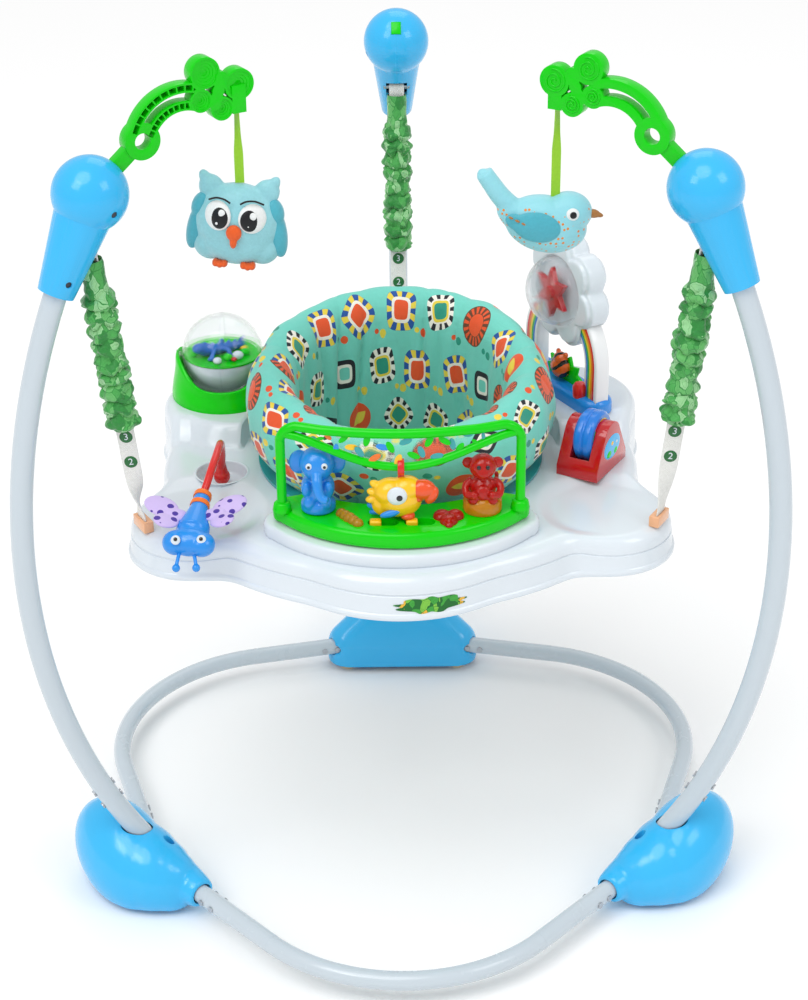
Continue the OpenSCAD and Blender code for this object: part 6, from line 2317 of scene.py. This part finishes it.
@dataclass
class Plush:
    """The two stuffed toys on the overhead arms, each on its lime ribbon."""

    reach: tuple[float, float] = (170.67, -98.54)
    drop: float = 80.0
    bird_drop: float = 106.0
    ribbon: float = 10.0

    def build(self) -> None:
        """Builds the owl and the bird."""
        self.owl()
        self.bird()

    def strip(self, name: str, place: Matrix, turn: float, body: str, drop: float) -> None:
        """Builds a ribbon that is looped on the arm's pin and turns to the front on its way down.

        Args:
            name: The ribbon's name.
            place: Axes at the pin, with Y along it.
            turn: The turn in degrees.
            body: The body it swings with.
            drop: Its length below the pin.
        """
        def shape(p: Vector) -> Vector:
            """Turns a point of the flat ribbon.

            Args:
                p: The point.

            Returns:
                Its new place.
            """
            along = p.z - drop / 2 - 3
            share = ease((-along - 6) / 50)
            angle = math.radians(turn) * share
            wide = p.y * (1 - 0.25 * math.sin(math.pi * share))
            return Vector((-wide * math.sin(angle), wide * math.cos(angle), along))

        band = Blank(place).band(drop + 4, self.ribbon, (48, 4)).warp(shape).thicken(1.2)
        ring = [(2.9, -self.ribbon / 2), (4.4, -self.ribbon / 2),
                (4.4, self.ribbon / 2), (2.9, self.ribbon / 2)]
        band.lathe(ring, 24, closed=True, turn=(90, 0, 0))
        fit(band.piece(name, 50.0), Shade.ribbon, body, "plush_aqua")

    def stuffed(self, blank: Blank, name: str, finish: Finish, body: str, *nodes: str) -> None:
        """Ends a soft form as a stuffed piece.

        Args:
            blank: The form.
            name: The piece's name.
            finish: Its finish.
            body: The body it swings with.
            *nodes: The CAD nodes that it stands for.
        """
        skin = blank.clay(name, 1.5, 5)
        fit(skin, finish, body, "plush_aqua", *nodes)

    def owl(self) -> None:
        """Builds the owl: body with ear tufts, wings, eyes, beak and feet."""
        pin = PLAN.shift(-self.reach[0], self.reach[1], PLAN.swing_at[1])
        self.strip("owl_ribbon", pin @ rotated(210), 60, "owl", self.drop)
        place = pin @ shifted(0, 0, -self.drop) @ rotated(-5)
        place = place @ rotated(5, "Y") @ Matrix.Scale(1.1, 4)
        body = Blank(place).ball((0, 0, -45), (44, 25, 40), facets=32)
        body.ball((0, 0, -62), (40, 23, 27), facets=32)
        body.ball((-26, 0, -68), (18, 15, 19)).ball((26, 0, -68), (18, 15, 19))
        for side in (-1, 1):
            body.ball((side * 27, 1, -13), (13, 8, 15), (0, side * 32, 0))
            body.ball((side * 34, 1, -3), (6, 5, 9), (0, side * 30, 0))
        self.stuffed(body, "owl_body_cloth", Shade.aqua, "owl", "owl")
        for side in (-1, 1):
            wing = Blank(place).ball((side * 40, 0, -52), (10, 11, 27), (0, -side * 12, 0))
            wing.ball((side * 37, -2, -30), (9, 10, 14), (0, -side * 20, 0))
            self.stuffed(wing, f"owl_wing_{side + 1}", Shade.deep_aqua, "owl")
            dab(f"owl_eye_{side + 1}", place, (side * 17, -20.5, -33), (14.5, 6.5, 15), Shade.white_cloth,
                "owl", "plush_aqua", (-6, 0, side * 24), 32)
            dab(f"owl_pupil_{side + 1}", place, (side * 15.5, -24.6, -33.5), (10.2, 3.9, 11.4),
                Shade.black_cloth, "owl", "plush_aqua", (-5, 0, side * 22), 32)
            brow = through([(side * 5, -24, -18), (side * 11, -24.2, -14.5), (side * 19, -21.5, -14.5),
                            (side * 27, -16, -19)], 5)
            arch = Blank(place).tube(brow, 1.1, 10)
            fit(arch.piece(f"owl_brow_{side + 1}", 60.0), Shade.black_cloth, "owl", "plush_aqua")
            glint = Blank(place).ball((side * 15.5 + 3.2, -28.2, -27.6), (3.4, 1.3, 3.9), facets=18)
            glint.ball((side * 15.5 - 1.5, -28.4, -38.5), (1.4, 0.8, 1.4), facets=12)
            fit(glint.piece(f"owl_glint_{side + 1}"), Shade.white_cloth, "owl", "plush_aqua")
            foot = Blank(place)
            for k in (-1, 0, 1):
                foot.ball((side * 14 + 4.5 * k, -14, -86 + abs(k)), (3.4, 6.5, 4))
            fit(foot.clay(f"owl_foot_{side + 1}", 0.9, 2), Shade.orange_cloth, "owl", "plush_aqua")
        beak = Blank(place).ball((0, -25.5, -48), (8, 5, 8.5)).ball((0, -26, -57), (3.8, 3.6, 7))
        fit(beak.clay("owl_beak", 0.8, 3), Shade.orange_cloth, "owl", "plush_aqua")

    def bird(self) -> None:
        """Builds the bird: body, raised tail, wing panel, beak and eye."""
        pin = PLAN.shift(self.reach[0], self.reach[1], PLAN.swing_at[1])
        self.strip("bird_ribbon", pin @ rotated(330), -60, "bird", self.bird_drop)
        place = pin @ shifted(-12, 0, 10 - self.bird_drop) @ Matrix.Scale(1.1, 4)
        body = Blank(place).ball((2, 0, -36), (42, 24, 29), (0, 14, 0), 32)
        body.ball((24, 0, -24), (24, 20, 21), facets=32).ball((-24, 0, -28), (26, 15, 16), (0, 34, 0))
        spine = through([(-28, 0, -22), (-42, 0, -8), (-52, 0, 6), (-60, 0, 18)], 4)
        body.tube(spine, [12 - 2.2 * i / 12 for i in range(len(spine))], 16)
        body.ball((-57, 0, 12), (12, 5, 8), (0, 50, 0))
        self.stuffed(body, "bird_body_cloth", Shade.bird_cloth, "bird", "bird")
        wing = Blank(place).ball((-8, -21, -32), (25, 6, 16), (0, 12, 0))
        wing.ball((-26, -19, -28), (15, 5, 9), (0, 26, 0))
        self.stuffed(wing, "bird_wing", Shade.deep_aqua, "bird")
        stitches = Blank(place)
        for i in range(6):
            stitches.ball((-34 + 6.4 * i, -24.6 - 0.6 * i + 0.12 * i * i, -20.5 - 3.2 * i),
                          (2.7, 1.0, 1.2), (0, 26, 0), 12)
        fit(stitches.piece("bird_stitches"), Shade.brown_cloth, "bird", "plush_aqua")
        dab("bird_eye", place, (27, -18.5, -20), (6.5, 2.6, 6.5), Shade.white_cloth, "bird",
            "plush_aqua", facets=28)
        dab("bird_pupil", place, (27.5, -20.8, -20), (3.4, 1.2, 3.6), Shade.black_cloth, "bird",
            "plush_aqua", facets=20)
        beak = Blank(place).ball((48, -2, -25), (8, 4.4, 4.6), (0, 10, 0))
        beak.ball((54, -2, -26.5), (5, 2.6, 2.6), (0, 14, 0))
        fit(beak.clay("bird_beak", 0.8, 3), Shade.brown_cloth, "bird", "plush_aqua")


@dataclass
class Studio:
    """A pale floor under soft lamps, and the camera."""

    eye: tuple[float, float, float] = (-0.002, -2.384, 1.680)
    aim: tuple[float, float, float] = (0.0036, -0.0418, 0.4427)
    roll: float = -0.546
    lens: float = 78.5
    sky: float = 0.68
    sun: float = 1.0
    lamps: tuple[tuple[tuple[float, float, float], float, float], ...] = (
        ((-1.9, -2.0, 2.9), 1.3, 17.0), ((2.1, -1.5, 2.6), 1.2, 13.0), ((0.2, 1.9, 3.0), 1.6, 8.0),
    )

    def build(self) -> None:
        """Builds the floor, the light and the camera."""
        blank = Blank(Matrix.Identity(4))
        bmesh.ops.create_grid(blank.bm, x_segments=1, y_segments=1, size=9.0)
        floor = blank.piece("floor")
        floor.data.materials.append(self.floor_material())
        self.light()
        self.camera()

    def floor_material(self) -> bpy.types.Material:
        """Matt white paper that still takes the shadow.

        Returns:
            The material.
        """
        graph = Graph("studio_floor")
        graph.set(Base_Color=(0.97, 0.97, 0.97, 1.0), Roughness=0.95, Specular_IOR_Level=0.0)
        return graph.material

    def light(self) -> None:
        """Builds the sky and the lamps."""
        world = bpy.data.worlds.new("studio")
        world.use_nodes = True
        background = world.node_tree.nodes["Background"]
        background.inputs[0].default_value = (1.0, 1.0, 1.0, 1.0)
        background.inputs[1].default_value = self.sky
        bpy.context.scene.world = world
        even = bpy.data.lights.new("even", "SUN")
        even.energy = self.sun
        even.angle = math.radians(40)
        wide = placed("even", even)
        wide.rotation_euler = Vector((0.35, 0.6, -1.5)).to_track_quat("-Z", "Y").to_euler()
        for i, (at, size, power) in enumerate(self.lamps):
            lamp = bpy.data.lights.new(f"lamp_{i}", "AREA")
            lamp.size = size
            lamp.energy = power
            made = placed(f"lamp_{i}", lamp)
            made.location = at
            made.rotation_euler = (Vector((0, 0, 0.45)) - Vector(at)).to_track_quat("-Z", "Y").to_euler()

    def camera(self) -> None:
        """Builds the camera."""
        data = bpy.data.cameras.new("camera")
        data.lens = self.lens
        data.sensor_width = 36.0
        data.sensor_fit = "AUTO"
        made = placed("camera", data)
        way = (Vector(self.aim) - Vector(self.eye)).to_track_quat("-Z", "Y").to_matrix().to_4x4()
        made.matrix_world = Matrix.Translation(self.eye) @ way @ rotated(self.roll)
        scene = bpy.context.scene
        scene.camera = made
        scene.render.resolution_x = 808
        scene.render.resolution_y = 1000
        scene.view_settings.view_transform = "Standard"


def main() -> None:
    """Loads the frame and builds each assembly in order."""
    logging.basicConfig(level=logging.INFO, format="%(name)s: %(message)s")
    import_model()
    tubes = FrameTubes()
    tubes.build()
    tubes.dress()
    Feet().build()
    Housings().build()
    ToyArms().build()
    for station in Station:
        SpringCover(station).build()
    Springs().build()
    for station, twist in ((Station.LEFT, -120.0), (Station.RIGHT, -60.0), (Station.REAR, 0.0)):
        Strap(station, twist).build()
    Tray().build()
    Console().build()
    GlobeToy().build()
    ArchToy().build()
    Roller().build()
    Bug().build()
    Seat().build()
    Plush().build()
    Studio().build()


if __name__ == "__main__":
    main()
